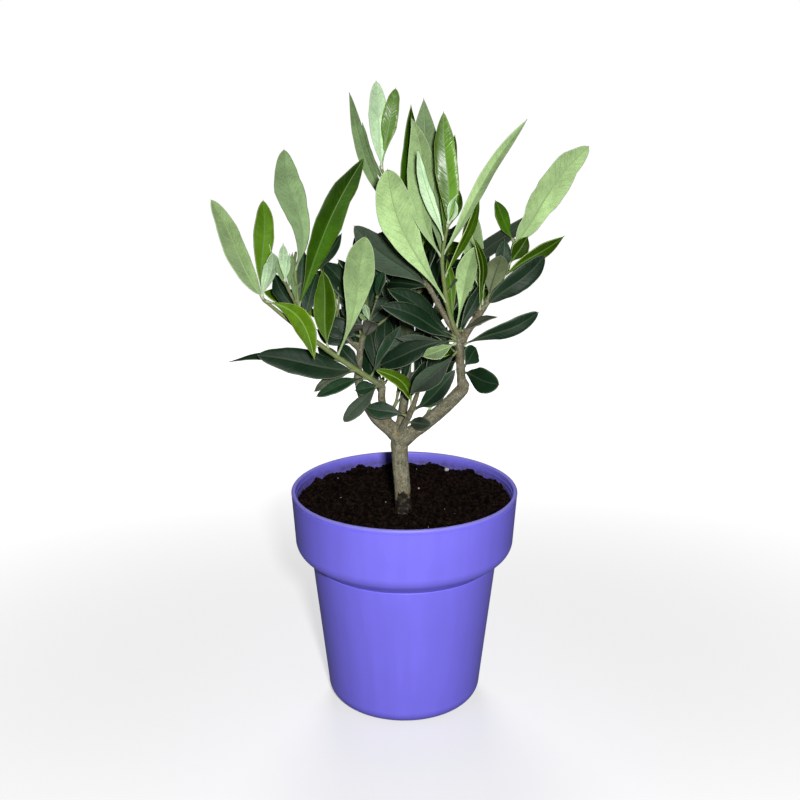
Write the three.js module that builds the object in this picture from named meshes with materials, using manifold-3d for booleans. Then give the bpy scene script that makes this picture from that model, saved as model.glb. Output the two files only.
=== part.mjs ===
// A young olive tree in a round plastic flower pot.
//
// Millimetres, +Z up. The origin is the centre of the pot's flat underside, and -Y is the front.
// The trunk and every bough are tapering limbs grown by one rule from the table LIMBS. The crown is a
// set of uneven, pointed masses, one for each cluster of leaves, grown by another rule from MASSES.

import * as THREE from 'three'
import { mergeVertices } from 'three/addons/utils/BufferGeometryUtils.js'
import Module from 'manifold-3d'

const wasm = await Module()
wasm.setup()

// ---------------------------------------------------------------- driving dimensions

const GAP = 0.3 // clearance between neighbouring pieces

const POT = {
  height: 119,
  rimRadius: 60, // outside of the lip
  bandRadius: 58.2, // outside of the deep rim band at its lower edge
  bandDepth: 27, // how far the straight part of the band comes down from the lip
  shoulderRadius: 8.6, // rounding under the band
  shoulderStart: -62, // where that rounding begins, degrees above level
  creaseRadius: 49.6, // where the band meets the body
  creaseDepth: 38.5,
  footRadius: 41.6, // outside of the body just above its foot
  footRounding: 8.5,
  wall: 2.2,
  floor: 2.6,
  sides: 32,
}

const SOIL = {
  depthBelowLip: 7,
  bedChamfer: 6,
  clearance: 0.5, // to the inside of the pot
}

// A limb leaves its parent at a fraction of the parent's length. It sets off on a heading (degrees
// about +Z, from +X) and a climb (degrees above level), and by its tip it has turned by swing and
// lift. Its radius goes from thick to thin.
const LIMBS = {
  trunk: {
    foot: [-0.3, -19], heading: 102, climb: 73, swing: 10, lift: 5, length: 40.5, thick: 3.8, thin: 4.4,
  },
  left_bough: {
    on: 'trunk', at: 0.98, heading: 194, climb: 29, swing: -66, lift: 48, length: 38, thick: 2.9, thin: 2.2,
  },
  left_upper_bough: {
    on: 'left_bough', at: 1, heading: 85, climb: 78, swing: -30, lift: -16, length: 25, thick: 2, thin: 1.5,
  },
  left_back_shoot: {
    on: 'left_upper_bough', at: 0.6, heading: 166, climb: 34, swing: -22, lift: 14, length: 26, thick: 1.4,
    thin: 1,
  },
  middle_bough: {
    on: 'trunk', at: 1, heading: 178, climb: 44, swing: -12, lift: 58, length: 29, thick: 2.5, thin: 1.9,
  },
  left_shoot: {
    on: 'middle_bough', at: 0.98, heading: 190, climb: 33, swing: 3, lift: 10, length: 62, thick: 1.6,
    thin: 1.1,
  },
  left_side_shoot: {
    on: 'left_shoot', at: 0.83, heading: 118, climb: 76, swing: 0, lift: 4, length: 27, thick: 1.1, thin: 0.9,
  },
  centre_twig: {
    on: 'trunk', at: 1, heading: 306, climb: 49, swing: 24, lift: 24, length: 26, thick: 2.1, thin: 1.2,
  },
  right_bough: {
    on: 'trunk', at: 0.92, heading: 343, climb: 34, swing: -1, lift: 18, length: 49, thick: 4, thin: 3.2,
  },
  right_upright: {
    on: 'right_bough', at: 0.93, heading: 228, climb: 80, swing: 7, lift: 7, length: 27, thick: 2.8,
    thin: 2.3,
  },
  front_shoot: {
    on: 'right_upright', at: 1, heading: 191, climb: 62, swing: 34, lift: 20, length: 28, thick: 1.6,
    thin: 1.2,
  },
  top_shoot: {
    on: 'right_upright', at: 0.98, heading: 163, climb: 56, swing: -43, lift: -4, length: 52, thick: 1.7,
    thin: 1.1,
  },
  right_back_bough: {
    on: 'right_upright', at: 0.9, heading: 38, climb: 46, swing: 10, lift: -4, length: 36, thick: 2.1,
    thin: 1.5,
  },
  back_bough: {
    on: 'trunk', at: 0.98, heading: 66, climb: 62, swing: 24, lift: -6, length: 48, thick: 2.9, thin: 2,
  },
  back_left_shoot: {
    on: 'back_bough', at: 0.93, heading: 150, climb: 38, swing: -12, lift: 12, length: 34, thick: 1.8,
    thin: 1.2,
  },
  back_middle_shoot: {
    on: 'back_bough', at: 1, heading: 96, climb: 42, swing: -6, lift: 14, length: 22, thick: 1.7, thin: 1.2,
  },
  back_top_shoot: {
    on: 'back_bough', at: 0.98, heading: 70, climb: 66, swing: 10, lift: 6, length: 42, thick: 1.8, thin: 1.1,
  },
  back_right_shoot: {
    on: 'back_bough', at: 0.95, heading: 36, climb: 36, swing: 8, lift: 14, length: 32, thick: 1.8, thin: 1.2,
  },
}

const FLARE = { height: 5, extra: 0.9 } // the trunk's spread where it enters the soil

const LIMB = {
  sides: 7,
  ringSpacing: 7,
  fewestRings: 3,
}

// A mass of leaves lies `ahead` of the tip of its limb, moved by `shift`. Its core is an uneven egg of
// three half sizes, and each spray is a heading, a climb and how far it reaches from the core's centre.
const MASSES = {
  left_tip_leaves: {
    limb: 'left_shoot', ahead: 21, shift: [5, 1, 5], core: [12, 11, 15],
    sprays: [[192, 57, 44], [78, 74, 38], [334, -54, 46], [70, 10, 20]],
  },
  left_upper_leaves: {
    limb: 'left_side_shoot', ahead: 16, shift: [6, 0, 0], core: [12, 11, 16],
    sprays: [[171, 80, 47], [0, 52, 53], [36, 34, 36], [200, 10, 18]],
  },
  left_middle_leaves: {
    limb: 'left_shoot', ahead: -19, shift: [12, 6, 15], core: [12, 12, 16],
    sprays: [[154, 62, 24], [317, 63, 45], [113, 40, 28], [250, -80, 26]],
  },
  left_low_leaves: {
    limb: 'left_shoot', ahead: -37, shift: [-7, 0, -8], core: [14, 9, 7],
    sprays: [[194, 20, 38], [166, 5, 53], [247, -37, 17], [130, -47, 17], [300, -41, 30]],
  },
  centre_low_leaves: {
    limb: 'centre_twig', ahead: 6, shift: [-1, -1, 0], core: [9, 8, 7], facets: 2,
    sprays: [[165, -20, 30], [196, 26, 26], [269, -40, 27], [349, 23, 22]],
  },
  inner_leaves: {
    limb: 'left_upper_bough', ahead: 9, shift: [4, -2, 0], core: [12, 11, 14], facets: 2,
    sprays: [[342, -20, 20], [20, 35, 20], [120, 60, 24]],
  },
  front_low_leaves: {
    limb: 'right_upright', ahead: -1, shift: [-17, -3, -1], core: [16, 8, 10], facets: 2,
    sprays: [[208, 40, 34], [184, 57, 35], [157, -33, 30], [241, -58, 29]],
  },
  right_low_leaves: {
    limb: 'right_upright', ahead: -10, shift: [10, -3, 0], core: [8, 8, 8], facets: 2,
    sprays: [[358, 38, 39], [289, -19, 27], [60, 10, 18]],
  },
  front_leaves: {
    limb: 'front_shoot', ahead: 8, shift: [2, -1, 0], core: [12, 9, 16],
    sprays: [[192, 60, 60], [7, 63, 84], [28, 37, 22]],
  },
  front_top_leaves: {
    limb: 'front_shoot', ahead: 50, shift: [0, 5, 1], core: [10, 9, 17],
    sprays: [[149, 71, 40], [105, 69, 44], [13, 81, 36], [230, 58, 22]],
  },
  top_side_leaves: {
    limb: 'top_shoot', ahead: 14, shift: [-3, -2, 0], core: [11, 10, 13],
    sprays: [[184, -5, 26], [324, 83, 61], [60, 10, 18]],
  },
  top_leaves: {
    limb: 'top_shoot', ahead: 50, shift: [-2, -12, 7], core: [7, 7, 16],
    sprays: [[198, 66, 33], [303, 86, 36], [21, 69, 33], [324, -69, 30]],
  },
  right_leaves: {
    limb: 'right_back_bough', ahead: 11, shift: [3, -3, 1], core: [12, 11, 13],
    sprays: [[333, 21, 24], [8, 31, 33], [180, 39, 33], [241, 29, 20], [69, 51, 34]],
  },
  right_tip_leaves: {
    limb: 'right_back_bough', ahead: 38, shift: [-3, -8, 9], core: [8, 7, 12],
    sprays: [[196, 28, 19], [8, 48, 48]],
  },
  left_back_leaves: {
    limb: 'left_back_shoot', ahead: 10, shift: [0, 0, 2], core: [14, 12, 14], facets: 2,
    sprays: [[150, 30, 34], [130, 58, 30], [192, -5, 26]],
  },
  back_left_leaves: {
    limb: 'back_left_shoot', ahead: 11, shift: [0, 0, 0], core: [15, 14, 15], facets: 2,
    sprays: [[140, 25, 38], [110, 50, 34], [170, 0, 28], [80, 0, 30], [120, -35, 26]],
  },
  back_middle_leaves: {
    limb: 'back_middle_shoot', ahead: 12, shift: [0, 0, 0], core: [15, 14, 15], facets: 2,
    sprays: [[90, 20, 40], [60, 45, 34], [120, 60, 30], [80, -30, 32], [20, 0, 22]],
  },
  back_top_leaves: {
    limb: 'back_top_shoot', ahead: 12, shift: [3, 1, 0], core: [12, 12, 14], facets: 2,
    sprays: [[70, 62, 28], [0, 50, 24], [110, 25, 28], [40, 0, 24], [200, 40, 20]],
  },
  back_right_leaves: {
    limb: 'back_right_shoot', ahead: 11, shift: [6, -6, 0], core: [15, 14, 15], facets: 2,
    sprays: [[45, 25, 38], [80, 45, 32], [10, 5, 26], [60, -30, 28], [20, 55, 26]],
  },
}

const MASS = {
  facets: 3, // how finely a mass is faceted, unless it says
  sprayWidth: 30, // half angle of a spray's root, degrees
  unevenness: 0.1,
  ripples: [5, 4, 6], // how closely the unevenness follows itself in x, y and z
  growth: 2.2, // corners move out by more than the gap, so that the faces between them clear it
}

const ARC_STEPS = 4
const MERGE_DISTANCE = 1e-4 // corners nearer than this are one corner

const FINISH = {
  pot: { color: 0x7a70ee, roughness: 0.38, metalness: 0 },
  soil: { color: 0x17120e, roughness: 1, metalness: 0 },
  bark: { color: 0x8b8467, roughness: 0.9, metalness: 0 },
  leaf: { color: 0x5f8a48, roughness: 0.6, metalness: 0 },
}

// ---------------------------------------------------------------- helpers

const radians = THREE.MathUtils.degToRad

function direction(heading, climb) {
  const h = radians(heading)
  const c = radians(climb)
  return new THREE.Vector3(Math.cos(c) * Math.cos(h), Math.cos(c) * Math.sin(h), Math.sin(c))
}

function solidOf(geometry) {
  const bare = geometry.index ? geometry.toNonIndexed() : geometry.clone()
  bare.deleteAttribute('normal')
  bare.deleteAttribute('uv')
  const merged = mergeVertices(bare, MERGE_DISTANCE)
  return new wasm.Manifold(new wasm.Mesh({
    numProp: 3,
    vertProperties: merged.attributes.position.array,
    triVerts: new Uint32Array(merged.index.array),
  }))
}

function largestPiece(solid) {
  const pieces = solid.decompose()
  return pieces.reduce((best, piece) => (piece.volume() > best.volume() ? piece : best))
}

function geometryOf(solid) {
  const mesh = solid.getMesh()
  const geometry = new THREE.BufferGeometry()
  geometry.setAttribute('position', new THREE.BufferAttribute(mesh.vertProperties, 3))
  geometry.setIndex(new THREE.BufferAttribute(mesh.triVerts, 1))
  geometry.computeVertexNormals()
  return geometry
}

function named(name, geometry, finish) {
  const mesh = new THREE.Mesh(geometry, new THREE.MeshStandardMaterial(finish))
  mesh.name = name
  return mesh
}

function arc(centreR, centreZ, radius, from, to) {
  return Array.from({ length: ARC_STEPS + 1 }, (_, i) => {
    const angle = radians(from + ((to - from) * i) / ARC_STEPS)
    return new THREE.Vector2(centreR + radius * Math.cos(angle), centreZ + radius * Math.sin(angle))
  })
}

// ---------------------------------------------------------------- pot and soil

function bodyRadius(z) {
  const crease = POT.height - POT.creaseDepth
  const t = (z - POT.footRounding) / (crease - POT.footRounding)
  return THREE.MathUtils.lerp(POT.footRadius, POT.creaseRadius, t)
}

function lathed(profile) {
  const geometry = new THREE.LatheGeometry(profile, POT.sides)
  geometry.rotateX(Math.PI / 2)
  return geometry
}

function makePot() {
  const { height, wall } = POT
  const crease = height - POT.creaseDepth
  const bandEnd = height - POT.bandDepth
  const lip = wall / 2
  const shoulder = POT.shoulderRadius
  const profile = [
    new THREE.Vector2(0, 0),
    ...arc(POT.footRadius - POT.footRounding, POT.footRounding, POT.footRounding, -90, 0),
    new THREE.Vector2(POT.creaseRadius, crease),
    ...arc(POT.bandRadius - shoulder, bandEnd, shoulder, POT.shoulderStart, 0),
    ...arc(POT.rimRadius - lip, height - lip, lip, 0, 180),
    new THREE.Vector2(POT.bandRadius - wall, bandEnd),
    new THREE.Vector2(POT.creaseRadius - wall, crease),
    new THREE.Vector2(bodyRadius(POT.floor + POT.footRounding) - wall, POT.floor + POT.footRounding),
    new THREE.Vector2(POT.footRadius - POT.footRounding, POT.floor),
    new THREE.Vector2(0, POT.floor),
  ]
  return lathed(profile)
}

function makeSoil() {
  const top = POT.height - SOIL.depthBelowLip
  const inset = POT.wall + SOIL.clearance
  const crease = POT.height - POT.creaseDepth
  const bandEnd = POT.height - POT.bandDepth
  const bottom = POT.floor + SOIL.clearance
  const bedTop = POT.floor + POT.footRounding
  const wallTop = THREE.MathUtils.lerp(POT.bandRadius, POT.rimRadius, (top - bandEnd) / POT.bandDepth)
  const profile = [
    new THREE.Vector2(0, bottom),
    new THREE.Vector2(POT.footRadius - POT.footRounding - SOIL.bedChamfer, bottom),
    new THREE.Vector2(bodyRadius(bedTop) - inset, bedTop),
    new THREE.Vector2(POT.creaseRadius - inset, crease),
    new THREE.Vector2(POT.bandRadius - inset, bandEnd),
    new THREE.Vector2(wallTop - inset, top),
    new THREE.Vector2(0, top),
  ]
  return lathed(profile)
}

// ---------------------------------------------------------------- limbs

const axes = {}

function ringCount(limb) {
  return Math.max(LIMB.fewestRings, Math.round(limb.length / LIMB.ringSpacing))
}

function growAxis(limb) {
  const soilTop = POT.height - SOIL.depthBelowLip
  const start = limb.foot
    ? new THREE.Vector3(limb.foot[0], limb.foot[1], soilTop + GAP)
    : axes[limb.on].getPointAt(limb.at)
  const steps = ringCount(limb)
  const points = [start]
  for (let i = 0; i < steps; i += 1) {
    const s = (i + 0.5) / steps
    const stride = direction(limb.heading + limb.swing * s, limb.climb + limb.lift * s)
    points.push(points[i].clone().addScaledVector(stride, limb.length / steps))
  }
  return new THREE.CatmullRomCurve3(points)
}

function limbSolid(name, grow) {
  const limb = LIMBS[name]
  const axis = axes[name]
  const geometry = new THREE.CylinderGeometry(1, 1, 1, LIMB.sides, ringCount(limb))
  const position = geometry.attributes.position
  for (let i = 0; i < position.count; i += 1) {
    const s = position.getY(i) + 0.5
    const along = axis.getTangentAt(s)
    const across = new THREE.Vector3(0, 1, 0).cross(along).normalize()
    const back = across.clone().cross(along)
    const flare = limb.foot ? FLARE.extra * Math.exp((-s * limb.length) / FLARE.height) : 0
    const radius = THREE.MathUtils.lerp(limb.thick, limb.thin, s) + flare + grow
    const spot = axis.getPointAt(s)
      .addScaledVector(across, position.getX(i) * radius)
      .addScaledVector(back, position.getZ(i) * radius)
      .addScaledVector(along, (2 * s - 1) * grow)
    if (limb.foot && s === 0) spot.z = axis.getPointAt(0).z - grow
    position.setXYZ(i, spot.x, spot.y, spot.z)
  }
  return solidOf(geometry)
}

// ---------------------------------------------------------------- masses of leaves

function massSolid(mass, grow) {
  const limbAxis = axes[mass.limb]
  const centre = limbAxis.getPointAt(1)
    .addScaledVector(limbAxis.getTangentAt(1), mass.ahead)
    .add(new THREE.Vector3(...mass.shift))
  const [a, b, c] = mass.core
  const sprays = mass.sprays.map(([heading, climb, reach]) => ({ way: direction(heading, climb), reach }))
  const geometry = mergeBare(new THREE.IcosahedronGeometry(1, mass.facets ?? MASS.facets))
  const position = geometry.attributes.position
  const ways = Array.from({ length: position.count }, (_, i) => (
    new THREE.Vector3().fromBufferAttribute(position, i).normalize()
  ))
  // the nearest corner of the ball is turned exactly onto each spray
  sprays.forEach(({ way }) => {
    const nearest = ways.reduce((best, w, i) => (w.dot(way) > ways[best].dot(way) ? i : best), 0)
    ways[nearest].copy(way)
  })
  const rootCos = Math.cos(radians(MASS.sprayWidth))
  const [p, q, r] = MASS.ripples
  ways.forEach((way, i) => {
    const egg = 1 / Math.hypot(way.x / a, way.y / b, way.z / c)
    const wave = Math.sin(p * way.x + a) * Math.sin(q * way.y + b) + Math.sin(r * way.z + c)
    const core = egg * (1 + MASS.unevenness * wave)
    const reach = sprays.reduce((far, spray) => {
      const nearness = Math.max(0, (way.dot(spray.way) - rootCos) / (1 - rootCos))
      return Math.max(far, core + (spray.reach - core) * nearness ** 2)
    }, core)
    way.multiplyScalar(reach).add(centre)
    position.setXYZ(i, way.x, way.y, way.z)
  })
  geometry.computeVertexNormals()
  const normal = geometry.attributes.normal
  for (let i = 0; i < position.count; i += 1) {
    position.setXYZ(
      i,
      position.getX(i) + normal.getX(i) * grow,
      position.getY(i) + normal.getY(i) * grow,
      position.getZ(i) + normal.getZ(i) * grow,
    )
  }
  return solidOf(geometry)
}

function mergeBare(geometry) {
  geometry.deleteAttribute('normal')
  geometry.deleteAttribute('uv')
  return mergeVertices(geometry, MERGE_DISTANCE)
}

// ---------------------------------------------------------------- assembly

const tree = new THREE.Group()
tree.name = 'potted_olive_tree'
tree.add(named('pot', makePot(), FINISH.pot))
tree.add(named('soil', makeSoil(), FINISH.soil))

// each limb is cut round the limbs before it, and each mass round the limbs and the masses before it
const cutters = []

for (const name of Object.keys(LIMBS)) {
  axes[name] = growAxis(LIMBS[name])
  const seated = cutters.reduce((solid, cutter) => solid.subtract(cutter), limbSolid(name, 0))
  tree.add(named(name, geometryOf(largestPiece(seated)), FINISH.bark))
  cutters.push(limbSolid(name, GAP))
}

for (const [name, mass] of Object.entries(MASSES)) {
  const seated = cutters.reduce((solid, cutter) => solid.subtract(cutter), massSolid(mass, 0))
  tree.add(named(name, geometryOf(largestPiece(seated)), FINISH.leaf))
  cutters.push(massSolid(mass, GAP * MASS.growth))
}

export default tree
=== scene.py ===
import math
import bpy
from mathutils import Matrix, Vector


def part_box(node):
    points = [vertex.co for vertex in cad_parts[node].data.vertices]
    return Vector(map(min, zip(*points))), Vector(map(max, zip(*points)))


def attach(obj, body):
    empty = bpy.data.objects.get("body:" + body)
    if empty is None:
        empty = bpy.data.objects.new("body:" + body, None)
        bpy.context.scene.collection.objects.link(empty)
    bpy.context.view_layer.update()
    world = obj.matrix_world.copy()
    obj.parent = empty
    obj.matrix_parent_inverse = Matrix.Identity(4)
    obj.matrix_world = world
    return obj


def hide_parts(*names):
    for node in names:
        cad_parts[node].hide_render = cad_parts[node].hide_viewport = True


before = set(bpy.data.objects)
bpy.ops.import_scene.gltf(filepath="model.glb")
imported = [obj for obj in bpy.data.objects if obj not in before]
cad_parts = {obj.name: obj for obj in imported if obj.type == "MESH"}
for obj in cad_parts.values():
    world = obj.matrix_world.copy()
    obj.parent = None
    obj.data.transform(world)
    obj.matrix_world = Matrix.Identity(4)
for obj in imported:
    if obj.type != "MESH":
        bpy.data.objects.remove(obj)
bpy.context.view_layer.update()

import zlib
from dataclasses import dataclass

import bpy
import numpy as np
from mathutils import Matrix, Vector, noise

# A young olive tree in a round plastic pot. Shapes are worked out in millimetres, +Z up, with the
# front of the plant towards -Y, and every mesh is written in metres at the origin.
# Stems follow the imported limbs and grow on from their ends. Leaves sit on the stems in sprays, one
# spray for each packed mass: the leading leaves are placed one by one, the rest by a seeded rule.

MM = 0.001

# ---------------------------------------------------------------- sizes

EYE = np.array([-2.3, -600.0, 344.0])  # the point that the tree is seen from
LOOK_DOWN = 16.4  # degrees below level
LENS = 54  # on a 36 mm wide sensor

POT = {
    "height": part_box("pot")[1].z / MM,
    "rim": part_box("pot")[1].x / MM,
    "bead": 2.1,  # height of the rounded lip
    "groove": 0.5,  # depth of the line under the lip
    "band_radius": 58.2,
    "band_depth": 27.0,
    "shoulder_radius": 8.6,
    "shoulder_start": -62,  # degrees, where the rounding under the band begins
    "crease_radius": 49.6,
    "crease_depth": 38.5,  # depths are measured down from the lip
    "foot_radius": 41.6,
    "foot_rounding": 8.5,
    "wall": 2.2,
    "floor": 2.6,
    "recess_radius": 30.2,  # the underside is let in by a little, so that the pot stands on a ring
    "recess_depth": 0.9,
    "ledge": 0.45,  # a small step inside the lip
}
SOIL_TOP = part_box("soil")[1].z / MM

# the limb that each limb leaves
PARENTS = {
    "trunk": None,
    "left_bough": "trunk",
    "left_upper_bough": "left_bough",
    "left_back_shoot": "left_upper_bough",
    "middle_bough": "trunk",
    "left_shoot": "middle_bough",
    "left_side_shoot": "left_shoot",
    "centre_twig": "trunk",
    "right_bough": "trunk",
    "right_upright": "right_bough",
    "front_shoot": "right_upright",
    "top_shoot": "right_upright",
    "right_back_bough": "right_upright",
    "back_bough": "trunk",
    "back_left_shoot": "back_bough",
    "back_middle_shoot": "back_bough",
    "back_top_shoot": "back_bough",
    "back_right_shoot": "back_bough",
}

# how far a shoot grows on from the end of its limb
GROWTH = {
    "left_shoot": (-11, -2, 10),
    "left_side_shoot": (0, 8, 11),
    "left_upper_bough": (-9, 7, 34),
    "left_back_shoot": (-8, 5, 10),
    "centre_twig": (2, 0, 7),
    "front_shoot": (1, -6, 31),
    "top_shoot": (-16, 14, 40),
    "right_back_bough": (10, 12, 23),
    "back_left_shoot": (-13, 13, 20),
    "back_middle_shoot": (1, 16, 20),
    "back_top_shoot": (6, 9, 28),
    "back_right_shoot": (13, 12, 20),
}

GREEN_LIMBS = ("left_shoot", "left_side_shoot", "front_shoot")
SHOOT_END_RADIUS = 0.75


def dice(name):
    """Random numbers of its own for each named piece, the same in every run."""
    return np.random.default_rng(zlib.crc32(name.encode()))


def unit(vector):
    vector = np.asarray(vector, float)
    return vector / np.linalg.norm(vector, axis=-1, keepdims=True)


def direction(heading, climb):
    """A unit vector from a heading about +Z, from +X, and a climb above level, in degrees."""
    h, c = math.radians(heading), math.radians(climb)
    return np.array([math.cos(c) * math.cos(h), math.cos(c) * math.sin(h), math.sin(c)])


def turned(vector, axis, degrees):
    axis = unit(axis)
    c, s = math.cos(math.radians(degrees)), math.sin(math.radians(degrees))
    return vector * c + np.cross(axis, vector) * s + axis * (axis @ vector) * (1 - c)


def across(vector, way):
    """The part of a vector that lies square to a way, made a unit long."""
    return unit(vector - (vector @ way) * way)


# ---------------------------------------------------------------- stems


def spline(points, spacing):
    """The smooth line through the points, with its points evenly spaced."""
    p = np.vstack([2 * points[0] - points[1], points, 2 * points[-1] - points[-2]])
    t = np.linspace(0, len(points) - 1.0001, 40 * len(points))
    i = t.astype(int)
    f = (t - i)[:, None]
    a, b, c, d = p[i], p[i + 1], p[i + 2], p[i + 3]
    fine = b + 0.5 * f * (c - a + f * (2 * a - 5 * b + 4 * c - d + f * (3 * b - a - 3 * c + d)))
    run = np.r_[0, np.cumsum(np.linalg.norm(np.diff(fine, axis=0), axis=1))]
    count = max(4, round(run[-1] / spacing) + 1)
    stops = np.linspace(0, run[-1], count)
    return np.stack([np.interp(stops, run, fine[:, k]) for k in range(3)], axis=1)


class Stem:
    """A limb or shoot: its centre line from foot to tip, and its radius along it."""

    spacing = 0.8

    def __init__(self, name, points, thick, thin, green=0.0):
        self.name = name
        self.line = spline(np.asarray(points, float), self.spacing)
        steps = np.linalg.norm(np.diff(self.line, axis=0), axis=1)
        self.run = np.r_[0, np.cumsum(steps)]
        self.length = self.run[-1]
        self.radii = np.interp(self.run, [0, self.length], [thick, thin])
        self.green = np.full(len(self.line), green)
        self.nodes = []  # the places where leaves leave it

    def point(self, at):
        return np.array([np.interp(at * self.length, self.run, self.line[:, k]) for k in range(3)])

    def way(self, at):
        reach = 2.0 / self.length
        return unit(self.point(min(1, at + reach)) - self.point(max(0, at - reach)))

    def radius(self, at):
        return float(np.interp(at * self.length, self.run, self.radii))

    def nearest(self, point):
        return self.line[np.argmin(np.linalg.norm(self.line - point, axis=1))]


def packed_triangles(node):
    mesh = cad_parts[node].data
    mesh.calc_loop_triangles()
    corners = np.array([v.co for v in mesh.vertices]) / MM
    return corners[np.array([t.vertices for t in mesh.loop_triangles])]


def cut_across(triangles, place, way):
    """Centre and girth of the outline where a plane through place, square to way, cuts a solid."""
    height = (triangles - place) @ way
    hits, places = [], []
    for a, b in ((0, 1), (1, 2), (2, 0)):
        hit = height[:, a] * height[:, b] < 0
        share = np.where(hit, height[:, a] / np.where(hit, height[:, a] - height[:, b], 1), 0)
        hits.append(hit)
        places.append(triangles[:, a] + (triangles[:, b] - triangles[:, a]) * share[:, None])
    hits, places = np.stack(hits, 1), np.stack(places, 1)
    cut = hits.sum(axis=1) == 2
    ends = places[cut][hits[cut]].reshape(-1, 2, 3)
    lengths = np.linalg.norm(ends[:, 1] - ends[:, 0], axis=1)
    return (ends.mean(axis=1) * lengths[:, None]).sum(axis=0) / lengths.sum(), lengths.sum()


def packed_axis(node, parent):
    """A limb's centre line and its radii at both ends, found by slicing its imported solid."""
    slices, girth_of_radius = 7, 6.07  # a seven-sided ring's girth for each millimetre of radius
    sunk = 3  # mm that the trunk goes on below its packed foot
    triangles = packed_triangles(node)
    areas = np.linalg.norm(
        np.cross(triangles[:, 1] - triangles[:, 0], triangles[:, 2] - triangles[:, 0]), axis=1
    )
    centres = triangles.mean(axis=1)
    middle = np.average(centres, axis=0, weights=areas)
    way = np.linalg.svd((centres - middle) * np.sqrt(areas)[:, None])[2][0]
    reach = (triangles.reshape(-1, 3) - middle) @ way
    low, high = middle + way * reach.min(), middle + way * reach.max()
    if parent is None:
        backwards = way[2] < 0
    else:
        gap = [np.linalg.norm(parent.nearest(end) - end) for end in (low, high)]
        backwards = gap[1] < gap[0]
    if backwards:
        way, reach = -way, -reach
    span = reach.max() - reach.min()
    stops = reach.min() + span * np.linspace(0.12, 0.9, slices)
    cuts = [cut_across(triangles, middle + way * stop, way) for stop in stops]
    line = np.array([centre for centre, _ in cuts])
    slant = unit(np.gradient(line, axis=0)) @ way
    radii = np.array([girth for _, girth in cuts]) / girth_of_radius / ((1 + 1 / slant) / 2)
    last = unit(line[-1] - line[-2])
    end = line[-1] + last * (reach.max() - stops[-1]) / (last @ way)
    if parent is None:
        first = unit(line[1] - line[0])
        start = line[0] - first * (stops[0] - reach.min() + sunk) / (first @ way)
    else:
        start = parent.nearest(line[0] - (line[1] - line[0]))
    return np.vstack([start, line, end]), radii[1], radii[-1]


stems = {}


def grow_stems():
    """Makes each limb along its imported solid, grown on and turning green where GROWTH says so."""
    for name, parent in PARENTS.items():
        line, thick, thin = packed_axis(name, stems.get(parent))
        limb_length = np.linalg.norm(np.diff(line, axis=0), axis=1).sum()
        if name in GROWTH:
            growth = np.array(GROWTH[name], float)
            heading = unit(line[-1] - line[-2])
            bend = line[-1] + heading * np.linalg.norm(growth) * 0.35 + growth * 0.12
            line = np.vstack([line, bend, line[-1] + growth])
        stem = Stem(name, line, thick, thin)
        if name in GROWTH:
            share = np.clip((stem.run - limb_length) / max(1, stem.length - limb_length), 0, 1)
            limb = np.interp(stem.run, [0, limb_length], [thick, thin])
            stem.radii = limb + (SHOOT_END_RADIUS - limb) * share
            stem.green = np.clip(share * 2.2, 0, 1)
        if name in GREEN_LIMBS:
            stem.green = np.clip(stem.run / 10, 0.25, 1)
        stems[name] = stem


grow_stems()

# twigs in front, each with the stem and place that it leaves and its way to its tip
TWIGS = {
    "left_twig": ("left_shoot", 0.64, (-9, -7, 28)),
    "grey_twig": ("left_upper_bough", 0.33, (4, -3, 9)),
    "bud_twig": ("right_bough", 0.36, (2, -1, 8)),
    "curl_twig": ("grey_twig", 0.7, (5, -6, 17)),
}
TWIG_RADII = (1.0, 0.6)


def grow_twig(name, parent, at, reach):
    """Makes a thin twig that leaves its stem along the grain and bends out to its tip."""
    stem = stems[parent]
    foot, reach = stem.point(at), np.array(reach, float)
    bend = foot + reach * 0.5 - stem.way(at) * np.linalg.norm(reach) * 0.08
    thick = min(TWIG_RADII[0], stem.radius(at) * 0.75)
    stems[name] = Stem(name, [foot, bend, foot + reach], thick, TWIG_RADII[1], green=0.6)


for name, (parent, at, reach) in TWIGS.items():
    grow_twig(name, parent, at, reach)


# ---------------------------------------------------------------- leaves


@dataclass
class Leaf:
    """A leaf from its place on a stem to its tip. faces is the heading and climb of its upper side."""

    stem: str
    at: float
    tip: tuple
    width: float
    faces: tuple
    kind: str
    arch: float = 0.05  # how far the middle rises from straight, for each unit of length
    bow: float = 0.0  # the same, sideways
    snake: float = 0.0  # how far it bends one way and then the other, sideways
    fold: float = 12  # degrees that each half is lifted from flat
    roll: float = 0.5  # mm that the margin turns down
    wave: float = 0.35  # mm that the margin ripples
    twist: float = 0.0  # degrees from foot to tip
    peak: float = 0.55  # where it is widest
    blunt: float = 0.3  # 0 is pointed and 1 is round
    taper: float = 1.0  # above 1 it narrows more towards the foot
    uneven: float = 0.06  # how much each half bulges and narrows
    tone: float = 1.0  # how light it is beside others of its kind
    split: float = 0.0  # painted light and shade: how much lighter one half is than the other, standing in for folded halves that catch the light unequally
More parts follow.
